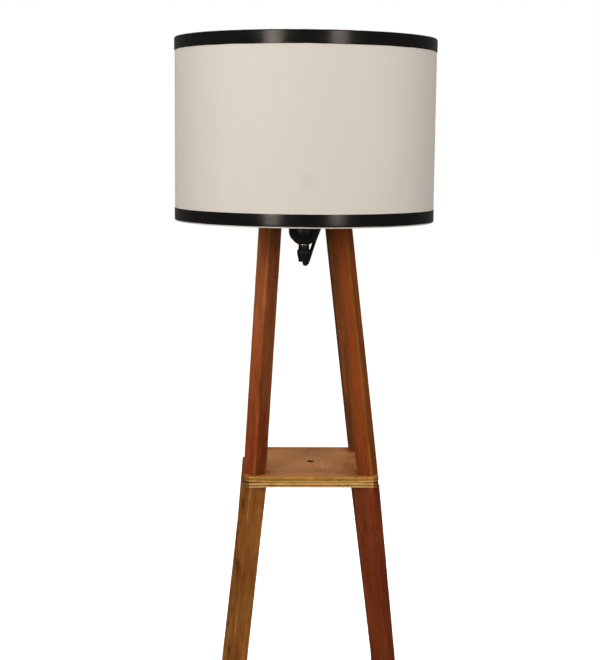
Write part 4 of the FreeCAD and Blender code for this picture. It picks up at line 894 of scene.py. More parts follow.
switch_black = plastic("switch_black_finish", (0.014, 0.014, 0.014), 0.34, 0.45, grain=0.25, grain_size=2600)
plug_black = plastic("plug_black_finish", (0.015, 0.015, 0.016), 0.42, 0.45, grain=0.2, grain_size=2200)
wire_white = plastic("wire_white_finish", (0.80, 0.79, 0.76), 0.34, 0.5, grain=0.08, grain_size=900)
envelope = plastic("bulb_envelope_finish", (0.88, 0.87, 0.84), 0.22, 0.5, vary=0.01, coat=0.3)
envelope.bsdf.inputs["Subsurface Weight"].default_value = 0.25
envelope.bsdf.inputs["Subsurface Radius"].default_value = (0.006, 0.006, 0.006)

lead_black = Mat("lead_black_finish")
p = lead_black.coords()
soft = lead_black.noise(lead_black.scaled(p, (60, 60, 60)), 1.0, 3.0, 0.55)
lead_black.set(Base_Color=lead_black.ramp(soft, [(0.0, (0.010, 0.010, 0.010)), (1.0, (0.018, 0.017, 0.017))]),
               Roughness=lead_black.range(soft, 0.3, 0.7, 0.34, 0.46),
               Normal=lead_black.bump(lead_black.noise(lead_black.scaled(p, (900, 900, 900)), 1.0, 2.0, 0.5), 0.08, 0.0002))

for obj in (lead_stand, lead_coiled):
    give(obj, lead_black)
    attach(obj, "stand")
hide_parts("lead_stand_length")
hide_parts("lead_to_coil", "lead_coil", "lead_to_plug")


def make(name, verts_faces, mat, body, *nodes, sharp=40.0, attrs=None, uv=None):
    verts, faces = verts_faces
    obj = piece(name, verts, faces, sharp=sharp, attrs=attrs, uv=uv)
    give(obj, mat)
    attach(obj, body)
    if nodes:
        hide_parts(*nodes)
    return obj


def ease(profile, r=0.3, n=2):
    """The outline with its corners rounded off a little."""
    out = []
    m = len(profile)
    for i in range(m):
        a, b, c = Vector(profile[i - 1]), Vector(profile[i]), Vector(profile[(i + 1) % m])
        u, v = a - b, c - b
        if b.x < 1e-6 or u.length < 1e-6 or v.length < 1e-6 or u.angle(v) > rad(160):
            out.append((b.x, b.y))
            continue
        q = min(r, u.length * 0.45, v.length * 0.45)
        p0, p1 = b + u.normalized() * q, b + v.normalized() * q
        for k in range(n + 1):
            t = k / n
            w = p0 * (1 - t) ** 2 + b * (2 * t * (1 - t)) + p1 * t**2
            out.append((w.x, w.y))
    return out


def lathe(profile, segs=96, r=0.3, shape=None, centre=(0, 0), base=0.0):
    return outward(*turned(ease(profile, r) if r else profile, segs, shape, centre, base))


# ---------------------------------------------------------------------------
# Lampholder
# ---------------------------------------------------------------------------
B = 975.0
cap = [(5.1, 0.0), (8.2, 0.0)] + arc((8.2, 0.0), (11.6, 1.9), (14.3, 4.6), 8)[1:] + arc((14.3, 4.6), (19.3, 10.6), (21.0, 17.8), 12)[1:]
cap += [(21.0, 33.8), (19.1, 33.8), (19.1, 20.5), (12.8, 8.2), (9.0, 4.4), (5.1, 4.4)]
make("holder_cap_bowl", lathe(cap, 128, 0.25, base=B - 32.8), bakelite, "stand", "holder_cap", sharp=30)
make("holder_nipple_tube", lathe([(3.6, 0), (5.0, 0), (5.0, 16.0), (3.6, 16.0)], 48, 0.2, base=B - 40), nickel, "stand", "holder_nipple")
make("nipple_washer_ring", lathe([(5.1, 0), (8.0, 0), (8.0, 0.8), (5.1, 0.8)], 96, 0.15, base=B - 33.6), nickel, "stand", "nipple_washer")
make("cord_grip_collar_ring", lathe([(5.1, 0), (7.5, 0), (7.5, 6.0), (7.0, 6.4), (5.1, 6.4)], 96, 0.2, base=B - 40), bakelite, "stand", "cord_grip_collar")


def hexagonal(i, a, r, z):
    """Six flats on the outside of a nut."""
    if r < 6.0:
        return r, z
    k = math.cos(math.pi / 6) / math.cos((a % (math.pi / 3)) - math.pi / 6)
    return min(r, r * k * 1.06), z


make("nipple_nut_hex", lathe([(5.1, 0), (8.2, 0), (8.2, 3.2), (5.1, 3.2)], 96, 0.2, hexagonal, base=B - 28.3), nickel, "stand", "nipple_nut")
grip = [(0, 7.4), (2.7, 7.4), (3.1, 4.0), (5.6, 0), (7.5, 0), (7.5, 3.4)]
grip += arc((7.5, 3.4), (8.55, 7.4), (8.9, 9.6), 5)[1:] + arc((8.9, 9.6), (9.25, 12.0), (9.3, 14.4), 5)[1:] + [(8.6, 16.8), (0, 16.8)]


def fluted(i, a, r, z):
    """Shallow flutes for the fingers on the wide part of the nut."""
    if r < 7.6:
        return r, z
    f = 0.5 - 0.5 * math.cos(a * 20)
    return r - 0.28 * f ** 3, z


make("cord_grip_nut_bell", lathe(grip, 160, 0.35, fluted, base=B - 56.8), bakelite, "stand", "cord_grip_nut", sharp=30)

# skirt with a coarse outside thread for the ring nuts
skirt = [(14.0, 0.0), (19.0, 0.0)]
zz = 8.0
while zz < 61.0:
    skirt.append((19.0, zz))
    zz += 0.32
skirt += [(19.0, 61.4), (18.5, 62.0), (16.6, 62.0), (16.6, 58.0), (14.0, 55.0)]
zz = 54.0
while zz > 14.0:
    skirt.append((14.0, zz))
    zz -= 0.5


def threaded(i, a, r, z):
    if r > 18.9 and 9.0 < z < 61.2:
        t = (z / 2.5 - a / TAU) % 1.0
        return r - 0.62 * (0.5 - 0.5 * math.cos(TAU * t)) ** 0.8, z
    if abs(r - 14.0) < 0.01 and 16 < z < 53:
        t = (z / 3.6 - a / TAU) % 1.0
        return r + 0.5 * (0.5 - 0.5 * math.cos(TAU * t)), z
    return r, z


make("holder_skirt_thread", outward(*turned(skirt, 96, threaded, base=B - 10)), bakelite, "stand", "holder_skirt", sharp=60)
make("holder_insulator_puck", lathe([(0, 0), (13.9, 0), (13.9, 12.0), (11.0, 12.0), (11.0, 8.0), (2.6, 8.0), (2.6, 2.0), (0, 2.0)], 96, 0.3, base=B + 2), ceramic, "stand", "holder_insulator")


def notched(count, deep):
    def shape(i, a, r, z):
        if r < 22.0:
            return r, z
        t = (a / TAU * count) % 1.0
        f = max(0.0, 1.0 - abs(t - 0.5) / 0.13)
        return r - deep * min(1.0, f * 1.8), z
    return shape


make("plate_ring_nut_ring", lathe([(19.1, 0), (26.5, 0), (26.5, 5.0), (25.5, 6.0), (19.1, 6.0)], 240, 0.4, notched(24, 0.9), base=B + 13), bakelite, "stand", "plate_ring_nut", sharp=45)
make("shade_ring_nut_ring", lathe([(19.1, 0), (26.5, 0), (26.5, 6.0), (25.0, 7.0), (19.1, 7.0)], 240, 0.4, notched(24, 0.9), base=B + 21.6), bakelite, "stand", "shade_ring_nut", sharp=45)
for node in ("side_contact", "centre_contact"):
    give(NODES[node], brass)

# ---------------------------------------------------------------------------
# Bulb
# ---------------------------------------------------------------------------
glass = [(11.8, 0), (13.0, 0), (13.6, 8.0)] + arc((13.6, 8.0), (18.6, 25.0), (27.1323, 42.2), 14)[1:]
glass += arc((27.1323, 42.2), (24.5796, 72.2), (0, 85.0), 30)[1:] + [(0, 83.8)]
glass += arc((0, 83.8), (23.6746, 71.4), (25.9938, 42.6), 24)[1:] + arc((25.9938, 42.6), (17.5, 25.4), (12.6, 8.4), 12)[1:]
make("bulb_envelope_glass", outward(*turned(glass, 96, base=B + 42)), envelope, "bulb", "bulb_glass", sharp=40)
cap_out = [(0, 3.0), (0, 2.2), (9.4, 2.2), (12.9, 5.4), (13.2, 6.4)]
zz = 6.8
while zz < 24.0:
    cap_out.append((13.2, zz))
    zz += 0.4
cap_out += [(13.2, 24.2), (13.1, 25.2), (12.2, 25.2), (12.2, 6.2), (9.0, 3.0)]


def cap_thread(i, a, r, z):
    if r > 13.15 and 6.6 < z < 21.5:
        t = (z / 3.6 - a / TAU) % 1.0
        return r - 0.75 * (0.5 - 0.5 * math.cos(TAU * t)), z
    return r, z


make("bulb_cap_thread", outward(*turned(cap_out, 96, cap_thread, base=B + 16.8)), aluminium, "bulb", "bulb_cap", sharp=60)
make("bulb_base_glass", lathe([(0, 0.8), (4.4, 0.8), (4.4, 0.2), (6.4, 0.2), (9.2, 2.2), (0, 2.2)], 64, 0.15, base=B + 16.8), bulb_black, "bulb", "bulb_base_insulator")
make("bulb_tip_solder", lathe([(0, 0), (2.4, 0.02), (3.2, 0.12), (4.0, 0.5), (4.2, 0.8), (0, 0.8)], 48, 0.1, base=B + 16.8), solder, "bulb", "bulb_tip")

# ---------------------------------------------------------------------------
# Shade
# ---------------------------------------------------------------------------
R_CLOTH, R_LINER, H = 176.9, 176.5, 244.4
SEAM = rad(94)


def cloth_mesh():
    """The cloth: one thin layer round the liner, its end lapped over at the back."""
    segs = 240
    rows = [0.9] + list(np.linspace(4.0, H - 4.0, 15)) + [H]
    lap = 9.0 / R_CLOTH
    verts, uv, lapped = [], [], []
    cols = segs + 1
    for z in rows:
        for k in range(cols):
            a = SEAM + (TAU + lap) * k / segs
            over = max(0.0, min(1.0, ((TAU + lap) * k / segs - TAU + 0.012) / 0.02))
            r = R_CLOTH - 0.06 + 0.28 * over + 0.05 * wander(math.cos(a) * 2.2, math.sin(a) * 2.2, z / 70.0, 5)
            verts.append((r * math.cos(a) / 1000, r * math.sin(a) / 1000, (B + z) / 1000))
            uv.append(((TAU + lap) * k / segs * R_CLOTH / 1000, z / 1000))
            lapped.append(over)
    n = len(verts)
    faces = grid_faces(len(rows), cols, wrap_cols=False)
    # an inner layer 0.3 mm further in, joined along the edges
    for j, z in enumerate(rows):
        for k in range(cols):
            x, y, zz_ = verts[j * cols + k]
            r = math.hypot(x, y)
            verts.append((x * (r - 0.0003) / r, y * (r - 0.0003) / r, zz_))
            uv.append(uv[j * cols + k])
            lapped.append(lapped[j * cols + k])
    inner = [tuple(i + n for i in reversed(f)) for f in faces]
    rim = []
    for k in range(cols - 1):
        rim.append((k + 1, k, n + k, n + k + 1))
        t = (len(rows) - 1) * cols
        rim.append((t + k, t + k + 1, n + t + k + 1, n + t + k))
    for j in range(len(rows) - 1):
        a, b = j * cols, (j + 1) * cols
        rim.append((a, b, n + b, n + a))
        a, b = j * cols + cols - 1, (j + 1) * cols + cols - 1
        rim.append((b, a, n + a, n + b))
    return verts, faces + inner + rim, uv, lapped


cloth = Mat("shade_cloth_finish")
uvn = cloth.node("ShaderNodeUVMap", uv_map="UVMap").outputs[0]
cu, cv, _ = cloth.split(uvn)
warp_t = cloth.math("SINE", cloth.math("MULTIPLY", cu, TAU / 0.00052))
weft_t = cloth.math("SINE", cloth.math("MULTIPLY", cv, TAU / 0.00060))
slub = cloth.noise(cloth.scaled(uvn, (9, 1500, 1)), 1.0, 3.0, 0.6)
slub2 = cloth.noise(cloth.scaled(uvn, (1500, 9, 1)), 1.0, 3.0, 0.6)
cloud = cloth.noise(cloth.scaled(cloth.coords(), (9, 9, 5)), 1.0, 3.0, 0.5)
stripe = cloth.noise(cloth.scaled(uvn, (26, 1.2, 1)), 1.0, 2.0, 0.5)
base_c = cloth.ramp(cloud, [(0.0, srgb(224, 215, 204)), (0.5, srgb(228, 219, 209)), (1.0, srgb(232, 224, 214))])
base_c = cloth.tone(base_c, cloth.range(stripe, 0.3, 0.7, 0.990, 1.010))
base_c = cloth.tone(base_c, cloth.range(cloth.math("ADD", slub, slub2), 0.7, 1.3, 0.985, 1.015))
# one faint mark near the lower edge, in front
spot = cloth.range(cloth.distance(cloth.coords(), (0.005, -0.1768, 1.033)), 0.016, 0.006, 0, 1, True)
base_c = cloth.mix(cloth.math("MULTIPLY", spot, 0.13), base_c, srgb(196, 182, 158))
weave = cloth.math("ADD", cloth.math("MULTIPLY", warp_t, weft_t), cloth.math("MULTIPLY", cloth.math("ADD", slub, slub2), 1.2))
cloth.set(Base_Color=base_c, Roughness=0.86, Normal=cloth.bump(weave, 0.10, 0.00006))
cloth.bsdf.inputs["Sheen Weight"].default_value = 0.12
cloth.bsdf.inputs["Sheen Roughness"].default_value = 0.5
cloth.bsdf.inputs["Specular IOR Level"].default_value = 0.2

cv_, cf_, cuv_, clap_ = cloth_mesh()
fabric = make("shade_cloth_wrap", (cv_, cf_), cloth, "shade", "shade_fabric", sharp=60, attrs={"lap": clap_}, uv=cuv_)

lining = Mat("shade_lining_finish")
lc = lining.coords()
lining.set(Base_Color=lining.ramp(lining.noise(lining.scaled(lc, (12, 12, 7)), 1.0, 2.0, 0.5), [(0.0, srgb(236, 232, 224)), (1.0, srgb(242, 239, 232))]),
           Roughness=0.62, Normal=lining.bump(lining.noise(lining.scaled(lc, (700, 700, 700)), 1.0, 3.0, 0.6), 0.05, 0.0001))
liner_profile = [(175.7, 0.25), (175.95, 0.0), (176.25, 0.0), (176.5, 0.25)] + [(176.5, z) for z in (40, 80, 120, 160, 200)]
liner_profile += [(176.5, H - 0.2), (176.3, H), (175.9, H), (175.7, H - 0.2)] + [(175.7, z) for z in (200, 160, 120, 80, 40)]
liner = make("shade_lining_sheet", outward(*turned(liner_profile, 240, base=B)), lining, "shade", "shade_liner", sharp=60)

# tapes: folded over the top rim, and laid round the bottom edge
tape_mat = Mat("black_tape_finish")
tuv = tape_mat.node("ShaderNodeUVMap", uv_map="UVMap").outputs[0]
tsoft = tape_mat.noise(tape_mat.scaled(tuv, (14, 60, 1)), 1.0, 3.0, 0.55)
rib = tape_mat.noise(tape_mat.scaled(tuv, (2600, 30, 1)), 1.0, 2.0, 0.5)
lint = tape_mat.noise(tape_mat.scaled(tuv, (420, 420, 1)), 1.0, 2.0, 0.6)
tape_mat.set(Base_Color=tape_mat.mix(tape_mat.range(lint, 0.66, 0.80, 0.0, 0.25, True), tape_mat.ramp(tsoft, [(0.0, (0.0045, 0.0042, 0.0040)), (1.0, (0.0075, 0.007, 0.0065))]), (0.05, 0.045, 0.04)),
             Roughness=tape_mat.range(tsoft, 0.3, 0.7, 0.18, 0.24),
             Normal=tape_mat.bump(tape_mat.math("ADD", tape_mat.math("MULTIPLY", rib, 0.5), tape_mat.math("MULTIPLY", tsoft, 3.0)), 0.10, 0.0002))
tape_mat.bsdf.inputs["Specular IOR Level"].default_value = 0.30
tape_mat.bsdf.inputs["Specular Tint"].default_value = (1.0, 0.89, 0.78, 1.0)


def tape_mesh(profile, thick, wave, seed, segs=240, lap_mm=12.0, start=rad(97)):
    """A thin strip laid along a profile of (radius, height), with a lapped end."""
    pts = [Vector(p) for p in profile]
    n = len(pts)
    normals = []
    for i in range(n):
        a = pts[max(0, i - 1)]
        b = pts[min(n - 1, i + 1)]
        t = (b - a).normalized()
        normals.append(Vector((t.y, -t.x)))
    run = [0.0]
    for i in range(1, n):
        run.append(run[-1] + (pts[i] - pts[i - 1]).length)
    cols = segs + 1
    lap = lap_mm / 177.0
    verts, uv = [], []
    for layer in (1, 0):
        for i in range(n):
            for k in range(cols):
                s = (TAU + lap) * k / segs
                a = start + s
                over = max(0.0, min(1.0, (s - TAU + 0.01) / 0.02))
                w1 = wander(math.cos(a) * 6, math.sin(a) * 6, 1.0, seed)
                w2 = wander(math.cos(a) * 22, math.sin(a) * 22, 4.0, seed)
                fray = wave * (w1 + 0.45 * w2)
                q, nm = pts[i], normals[i]
                free = 1.0 if i < 2 else (0.5 if i == 2 else 0.0)
                off = thick * layer * 0.5 + thick * 0.8 * over + 0.05 * w2
                if layer == 0:
                    off -= thick * 0.5
                r = q.x + nm.x * off
                z = q.y + nm.y * off + fray * free
                verts.append((r * math.cos(a) / 1000, r * math.sin(a) / 1000, (B + z) / 1000))
                uv.append((s * 177 / 1000, run[i] / 1000))
    m = n * cols
    outer = grid_faces(n, cols, wrap_cols=False)
    inner = [tuple(i + m for i in reversed(f)) for f in outer]
    rim = []
    for k in range(cols - 1):
        rim.append((k + 1, k, m + k, m + k + 1))
        t = (n - 1) * cols
        rim.append((t + k, t + k + 1, m + t + k + 1, m + t + k))
    for i in range(n - 1):
        a, b = i * cols, (i + 1) * cols
        rim.append((a, b, m + b, m + a))
        rim.append((b + cols - 1, a + cols - 1, m + a + cols - 1, m + b + cols - 1))
    return verts, outer + inner + rim, uv


top_profile = [(177.12, 227.3), (177.22, 228.2), (177.28, 230.5), (177.30, 234.0), (177.30, 238.0), (177.30, 242.4)]
top_profile += [(177.18, 243.3), (176.7, 243.98), (175.8, 244.24), (174.4, 244.28), (173.2, 244.08), (172.7, 243.5), (172.48, 242.7), (172.45, 240.5), (172.45, 238.4), (172.55, 236.8)]
v_, f_, u_ = tape_mesh(top_profile, 0.55, 0.20, 2)
v_, f_ = outward(v_, f_)
top_tape = make("shade_top_tape_band", (v_, f_), tape_mat, "shade", "shade_top_tape", sharp=70, uv=u_)
low_profile = [(177.02, 1.6), (177.08, 2.4), (177.12, 5.0), (177.12, 8.0), (177.12, 12.0), (177.12, 15.4), (177.08, 17.0), (177.02, 17.6)]
v_, f_, u_ = tape_mesh(low_profile, 0.38, 0.16, 9, start=rad(99))
v_, f_ = outward(v_, f_)
low_tape = make("shade_bottom_tape_band", (v_, f_), tape_mat, "shade", "shade_bottom_tape", sharp=70, uv=u_)

# wire rings and spider
RING = 174.4
ring_path = [(RING * math.cos(TAU * k / 240), RING * math.sin(TAU * k / 240), B + 242.9) for k in range(240)]
make("shade_top_ring_round", outward(*swept(ring_path, 1.25, 12, closed=True)), wire_white, "shade", "shade_top_ring", sharp=80)

spider = Soup()
ring_path = [(RING * math.cos(TAU * k / 240), RING * math.sin(TAU * k / 240), B + 1.6) for k in range(240)]
spider.add(*swept(ring_path, 1.25, 12, closed=True))
spider.add(*turned(ease([(19.6, 0), (29.5, 0), (29.5, 2.0), (19.6, 2.0)], 0.4), 96, base=B + 19.3))
for i in range(3):
    ang = rad(90 + 120 * i)
    c, s = math.cos(ang), math.sin(ang)
    a, b, d = (28.0, B + 20.6), (104.0, B + 21.0), (RING - 0.3, B + 2.2)
    path = [a, (50.0, B + 20.72), (75.0, B + 20.85), (98.0, B + 20.97)]
    for t in np.linspace(0.1, 0.9, 9):
        p0, p2 = (98.0, B + 20.97), (109.5, B + 19.55)
        path.append(((1 - t) ** 2 * p0[0] + 2 * t * (1 - t) * b[0] + t * t * p2[0], (1 - t) ** 2 * p0[1] + 2 * t * (1 - t) * b[1] + t * t * p2[1]))
    path += [(109.5, B + 19.5), (130.0, B + 13.97), (152.0, B + 8.05), d]
    spider.add(*swept([(q * c, q * s, z) for q, z in path], 1.5, 12))
    spider.add(*ball((28.9 * c, 28.9 * s, B + 20.5), (2.3, 1.9, 1.35), ang))
    spider.add(*ball((172.6 * c, 172.6 * s, B + 2.5), (2.3, 2.3, 1.25), ang))
v_, f_ = spider.verts, spider.faces
make("shade_spider_wire", (v_, f_), wire_white, "shade", "shade_spider", sharp=60)


# ---------------------------------------------------------------------------
# Screws with a cross recess
# ---------------------------------------------------------------------------
def screw_head(soup, x, y, z, radius, dome, up, spin_=0.3, shank=1.6, length=8.0, sink=0.0):
    """A round head with a cross recess: z is its outer face, up is 1 or -1."""
    rings, segs = 22, 64
    verts = []
    c, s = math.cos(spin_), math.sin(spin_)
    for i in range(rings + 1):
        q = radius * i / rings
        for k in range(segs):
            a = TAU * k / segs
            px, py = q * math.cos(a), q * math.sin(a)
            rx, ry = px * c + py * s, -px * s + py * c
            arm = 0.20 * radius * max(0.0, 1 - q / (0.66 * radius)) + 0.10 * radius
            near = min(abs(rx), abs(ry))
            deep = 0.0
            if q < 0.62 * radius:
                deep = max(0.0, min(1.0, (arm - near) / 0.12)) * (0.42 * radius) * (1 - q / (0.75 * radius))
            h = dome * (1 - (q / radius) ** 2) - deep
            if q > 0.93 * radius:
                h -= 0.18 * ((q / radius - 0.93) / 0.07) ** 2
            verts.append(((x + px) / 1000, (y + py) / 1000, (z + up * (h - dome - sink)) / 1000))
    n0 = len(verts)
    for q, dz in ((radius, -dome - 0.75), (shank * 1.1, -dome - (2.6 if dome < 0.5 else 0.8)), (shank, -dome - length)):
        for k in range(segs):
            a = TAU * k / segs
            verts.append(((x + q * math.cos(a)) / 1000, (y + q * math.sin(a)) / 1000, (z + up * (dz - sink)) / 1000))
    faces = grid_faces(rings + 4, segs)
    faces.append(tuple((rings + 3) * segs + k for k in range(segs)))
    v, f = weld(verts, faces, 1e-8)
    soup.add(*outward(v, f))


heads = Soup()
for i, name in enumerate(n for n in LEGS if n.startswith("upper")):
    tx, ty = LEGS[name]["top"]
    screw_head(heads, tx, ty, 988.0, 3.95, 0.0, 1, 0.4 + 1.1 * i, 2.0, 20.0, 0.03)
make("top_plate_screw_heads", (heads.verts, heads.faces), zinc, "stand", "top_plate_screws", sharp=30)
for node, mat in (("upper_leg_screws", zinc), ("lower_leg_screws", zinc), ("board_screws", zinc), ("clip_nails", zinc),
                  ("cord_clips", clip_black), ("switch_lower_shell", switch_black), ("switch_upper_shell", switch_black),
                  ("switch_rocker", switch_black), ("switch_screws", zinc)):
    give(NODES[node], mat)

# glides under the legs
glides = Soup()
for name in (n for n in LEGS if n.startswith("lower")):
    gx, gy = LEGS[name]["low"]
    glides.add(*lathe([(0, 0), (7.2, 0), (8.0, 0.15), (9.2, 0.8), (10.0, 1.8), (10.0, 3.7), (9.7, 4.0), (0.9, 4.0), (0.9, 14.0), (0, 16.0)], 64, 0.15, centre=(gx, gy)))
make("floor_glide_discs", (glides.verts, glides.faces), glide, "stand", "floor_glides")


# ---------------------------------------------------------------------------
# Switch reliefs, plug and the coil's tie
# ---------------------------------------------------------------------------
def laid(profile, base, way, segs=48, r=0.12, shape=None):
    """A turned piece laid along a direction from a point, both in mm."""
    v, f = outward(*turned(ease(profile, r) if r else profile, segs, shape))
    w = Vector(way).normalized()
    q = Vector((0, 0, 1)).rotation_difference(w)
    b = Vector(base) / 1000
    return [tuple(q @ Vector(p) + b) for p in v], f


def sleeve(length, big, small):
    edge = [(2.52, 0.0), (big, 0.0)]
    for i in range(5):
        r = big + (small - big) * (i + 0.35) / 5
        z = length * (i + 0.35) / 5
        edge += [(r, z), (r - 0.45, z + 0.3), (r - 0.45, z + 1.3), (r - 0.05, z + 1.6)]
    edge += [(small, length - 0.3), (small - 0.3, length), (2.52, length)]
    return edge


WAY = Vector((0.80216, -0.59712, 0.0))
SW = Vector((-8.0, 122.3, 9.0))
a_end, b_end = SW - WAY * 31.0, SW + WAY * 31.0
relief_in = make("switch_relief_in_sleeve", laid(sleeve(23.0, 4.6, 3.3), a_end, -WAY), switch_black, "stand", "switch_relief_in", sharp=50)
relief_out = make("switch_relief_out_sleeve", laid(sleeve(23.0, 4.6, 3.3), b_end, WAY), switch_black, "stand", "switch_relief_out", sharp=50)

PWAY = Vector((-0.96399, -0.26593, 0.0)).normalized()
PSIDE = Vector((-PWAY.y, PWAY.x, 0.0))
TAIL = Vector((3.0, -64.4, 6.3))
PSTART = TAIL + PWAY * 24.0
plug_relief = make("plug_relief_sleeve_turned", laid(sleeve(24.0, 4.8, 3.3), PSTART, -PWAY), plug_black, "stand", "plug_relief", sharp=50)


def plug_shell():
    us = [0.0, 0.15, 0.5, 1.0, 1.8] + list(np.linspace(2.6, 35.6, 48)) + [36.4, 37.2, 37.6, 37.9, 38.0]
    key = np.array([(0, 12.0, 10.4), (9, 20.0, 13.2), (24, 26.0, 13.6), (34, 35.3, 13.7), (38, 35.3, 13.7)])
    verts, cols = [], 72
    for u in us:
        i = min(len(key) - 2, int(np.searchsorted(key[:, 0], u, side="right")) - 1)
        t = (u - key[i, 0]) / (key[i + 1, 0] - key[i, 0])
        wide = key[i, 1] + (key[i + 1, 1] - key[i, 1]) * t
        thick = key[i, 2] + (key[i + 1, 2] - key[i, 2]) * t
        end = min(u, 38.0 - u)
        e = 1.2 - math.sqrt(max(0.0, 1.2 ** 2 - (1.2 - min(1.2, end)) ** 2)) if end < 1.2 else 0.0
        grip_ = 0.0
        if 10.0 < u < 24.0:
            grip_ = 0.55 * (0.5 - 0.5 * math.cos(TAU * (u - 10.0) / 2.8)) ** 2
        hw, ht = wide / 2 - e - 0.05, (thick - 1.2) / 2 - e - 0.05
        for k in range(cols):
            a = TAU * k / cols
            cc, ss = math.cos(a), math.sin(a)
            px = hw * math.copysign(abs(cc) ** 0.62, cc)
            pz = ht * math.copysign(abs(ss) ** 0.62, ss)
            flat = max(0.0, abs(ss) - 0.45) / 0.55
            pz -= math.copysign(grip_ * flat, pz) if abs(pz) > 1 else 0.0
            q = PSTART + PWAY * u + PSIDE * px + Vector((0, 0, pz))
            verts.append((q.x / 1000, q.y / 1000, q.z / 1000))
    faces = grid_faces(len(us), cols)
    faces.append(tuple(reversed(range(cols))))
    faces.append(tuple((len(us) - 1) * cols + k for k in range(cols)))
    return outward(verts, faces)


plug_body = make("plug_body_shell", plug_shell(), plug_black, "stand", "plug_body", sharp=50)
pin_mat = Mat("plug_pin_finish")
sl = pin_mat.attr("sleeve")
pin_mat.set(Base_Color=pin_mat.mix(sl, (0.78, 0.76, 0.72), (0.016, 0.016, 0.016)), Metallic=pin_mat.math("SUBTRACT", 1.0, sl), Roughness=pin_mat.range(sl, 0, 1, 0.22, 0.42))
pins, sleeves = Soup(), []
for v in (-1, 1):
    root = PSTART + PWAY * 38.0 + PSIDE * (v * 9.5)
    prof = [(0, -0.6), (1.98, -0.6), (1.98, 9.6), (1.98, 9.9), (1.86, 10.05), (1.86, 10.6), (1.9, 16.9), (1.75, 18.0), (1.35, 18.7), (0.7, 18.97), (0, 19.0)]
    vv, ff = turned(prof, 40)
    q = Vector((0, 0, 1)).rotation_difference(PWAY)
    sleeves += [1.0 if p[2] * 1000 < 9.95 else 0.0 for p in vv]
    pins.add(*outward([tuple(q @ Vector(p) + root / 1000) for p in vv], ff))
plug_pins = make("plug_pins_sleeved", (pins.verts, pins.faces), pin_mat, "stand", "plug_pins", sharp=50, attrs={"sleeve": sleeves})

tie = Soup()
loop_in, loop_out, wide_ = [], [], 2.6
for hw, ht, rr, out in ((8.4, 7.2, 2.4, loop_in), (9.0, 7.6, 3.0, loop_out)):
    for k in range(4):
        sx, sy = ((1, 1), (-1, 1), (-1, -1), (1, -1))[k]
        for i in range(9):
            t = rad(90 * k + 90 * i / 8)
            out.append((sx * (hw - rr) + rr * math.cos(t), 7.6 + sy * (ht - rr) + rr * math.sin(t)))
n = len(loop_in)
tv = []
for q, pts in ((-1, loop_in), (1, loop_in), (1, loop_out), (-1, loop_out)):
    for (yy, zz_) in pts:
        tv.append(((COIL[0] + q * wide_) / 1000, (COIL[1] + 27.5 + yy) / 1000, zz_ / 1000))
tie.add(*outward(tv, grid_faces(4, n, wrap_rows=True)))


def pill(cx, cy, cz, lx, ly, lz, r):
    """A small block with rounded edges."""
    verts, rows_ = [], []
    for zt in range(7):
        t = rad(-90 + 30 * zt)
        z = cz + (lz / 2 - r) * (1 if zt > 3 else (-1 if zt < 3 else 0)) + r * math.sin(t)
        ins = r - r * math.cos(t)
        row = []
        for k in range(4):
            sx, sy = ((1, 1), (-1, 1), (-1, -1), (1, -1))[k]
            for i in range(5):
                a = rad(90 * k + 90 * i / 4)
                rr = max(0.05, r * 1.2 - ins)
                row.append(((cx + sx * (lx / 2 - r * 1.2) + rr * math.cos(a)) / 1000, (cy + sy * (ly / 2 - r * 1.2) + rr * math.sin(a)) / 1000, z / 1000))
        rows_.append(row)
    for row in rows_:
        verts += row
    cols_ = len(rows_[0])
    faces = grid_faces(len(rows_), cols_)
    faces.append(tuple(reversed(range(cols_))))
    faces.append(tuple((len(rows_) - 1) * cols_ + k for k in range(cols_)))
    return outward(verts, faces)


tie.add(*pill(COIL[0], COIL[1] + 29.0, 16.0, 5.4, 6.8, 1.6, 0.5))
coil_tie = make("coil_tie_band", (tie.verts, tie.faces), clip_black, "stand", "coil_tie", sharp=45)


# ---------------------------------------------------------------------------
# Room: a white floor, a white backdrop, two soft boxes in front and four weaker lights
# ---------------------------------------------------------------------------
def ground():
    """A wide round floor, cut off far outside the picture."""
    verts, rings, cols = [], (0.02, 0.2, 0.5, 1.0, 1.5, 2.2, 3.5, 6.0, 11.0), 96
    for r in rings:
        for k in range(cols):
            a = TAU * k / cols
            verts.append((r * math.cos(a), r * math.sin(a), -0.0002))
    faces = grid_faces(len(rings), cols)
    faces.append(tuple(reversed(range(cols))))
    return verts, faces


paper = Mat("white_paper")
pc = paper.coords()
paper.set(Base_Color=paper.ramp(paper.noise(paper.scaled(pc, (0.6, 0.6, 0.6)), 1.0, 2.0, 0.5), [(0.0, (0.86, 0.86, 0.86)), (1.0, (0.90, 0.90, 0.90))]), Roughness=0.9)
paper.bsdf.inputs["Specular IOR Level"].default_value = 0.0
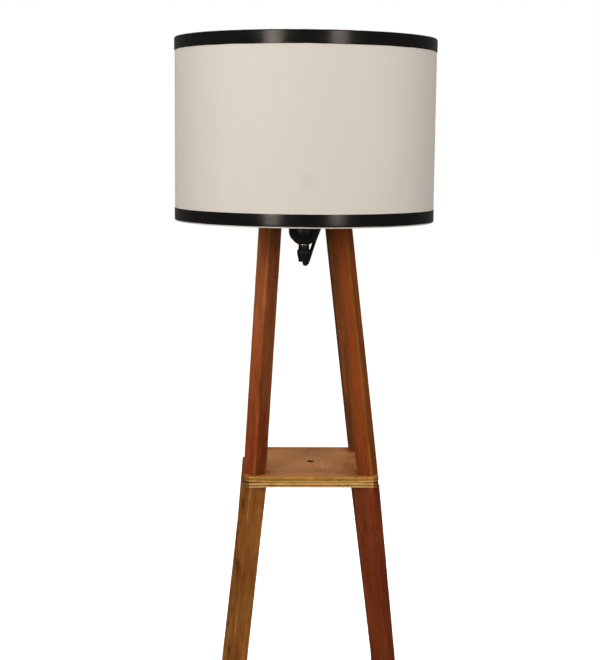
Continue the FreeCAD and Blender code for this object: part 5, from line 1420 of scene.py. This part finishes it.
# painted light: the floor glows white, weaker within about half a metre of the lamp and full beyond about 1.5 m
paper.bsdf.inputs["Emission Color"].default_value = (1, 1, 1, 1)
floor_glow_reach = paper.distance(pc, (0, 0, 0))
paper.put(paper.bsdf.inputs["Emission Strength"], paper.range(floor_glow_reach, 0.55, 1.45, 0.50, 1.0, True))
sv, sf = ground()
paper_floor = piece("paper_floor", sv, sf, sharp=0)
give(paper_floor, paper)
# the floor takes shadows but throws no light back at the lamp
paper_floor.visible_diffuse = False
paper_floor.visible_glossy = False

# the backdrop is plain white; what lights the lamp from all round is much dimmer
world = bpy.data.worlds.new("world")
bpy.context.scene.world = world
world.use_nodes = True
wt = world.node_tree
wt.nodes["Background"].inputs[0].default_value = (1.0, 0.985, 0.96, 1)
wt.nodes["Background"].inputs[1].default_value = 0.11
backdrop, either = wt.nodes.new("ShaderNodeBackground"), wt.nodes.new("ShaderNodeMixShader")
backdrop.inputs[0].default_value = (1, 1, 1, 1)
backdrop.inputs[1].default_value = 1.0
wt.links.new(wt.nodes.new("ShaderNodeLightPath").outputs["Is Camera Ray"], either.inputs[0])
wt.links.new(wt.nodes["Background"].outputs[0], either.inputs[1])
wt.links.new(backdrop.outputs[0], either.inputs[2])
wt.links.new(either.outputs[0], wt.nodes["World Output"].inputs["Surface"])


def box_light(name, azimuth, away, z, size, power, colour, mirrored=True, aim=0.95):
    """A soft box: azimuth is from the front, to the right positive."""
    data = bpy.data.lights.new(name, "AREA")
    data.shape = "RECTANGLE"
    data.size, data.size_y = size
    data.energy = power
    data.color = colour
    obj = bpy.data.objects.new(name, data)
    bpy.context.scene.collection.objects.link(obj)
    a = rad(azimuth)
    obj.location = (away * math.sin(a), -away * math.cos(a), z)
    obj.rotation_euler = (Vector((0, 0, aim)) - obj.location).to_track_quat("-Z", "Y").to_euler()
    obj.visible_glossy = mirrored
    return obj


WARM = (1.0, 0.98, 0.953)
box_light("key", -27, 2.3, 1.60, (0.50, 1.7), 25.5, WARM)
box_light("fill", 27, 2.3, 1.60, (0.50, 1.7), 17.5, WARM)
box_light("side_left", -78, 2.3, 1.75, (0.9, 1.8), 16.5, WARM, False)
box_light("side_right", 78, 2.3, 1.75, (0.9, 1.8), 15.0, WARM, False)
box_light("above", 0, 0.01, 3.2, (1.6, 1.6), 18.0, WARM, False)
box_light("behind", 180, 2.4, 1.9, (1.2, 1.6), 22.0, WARM, False)
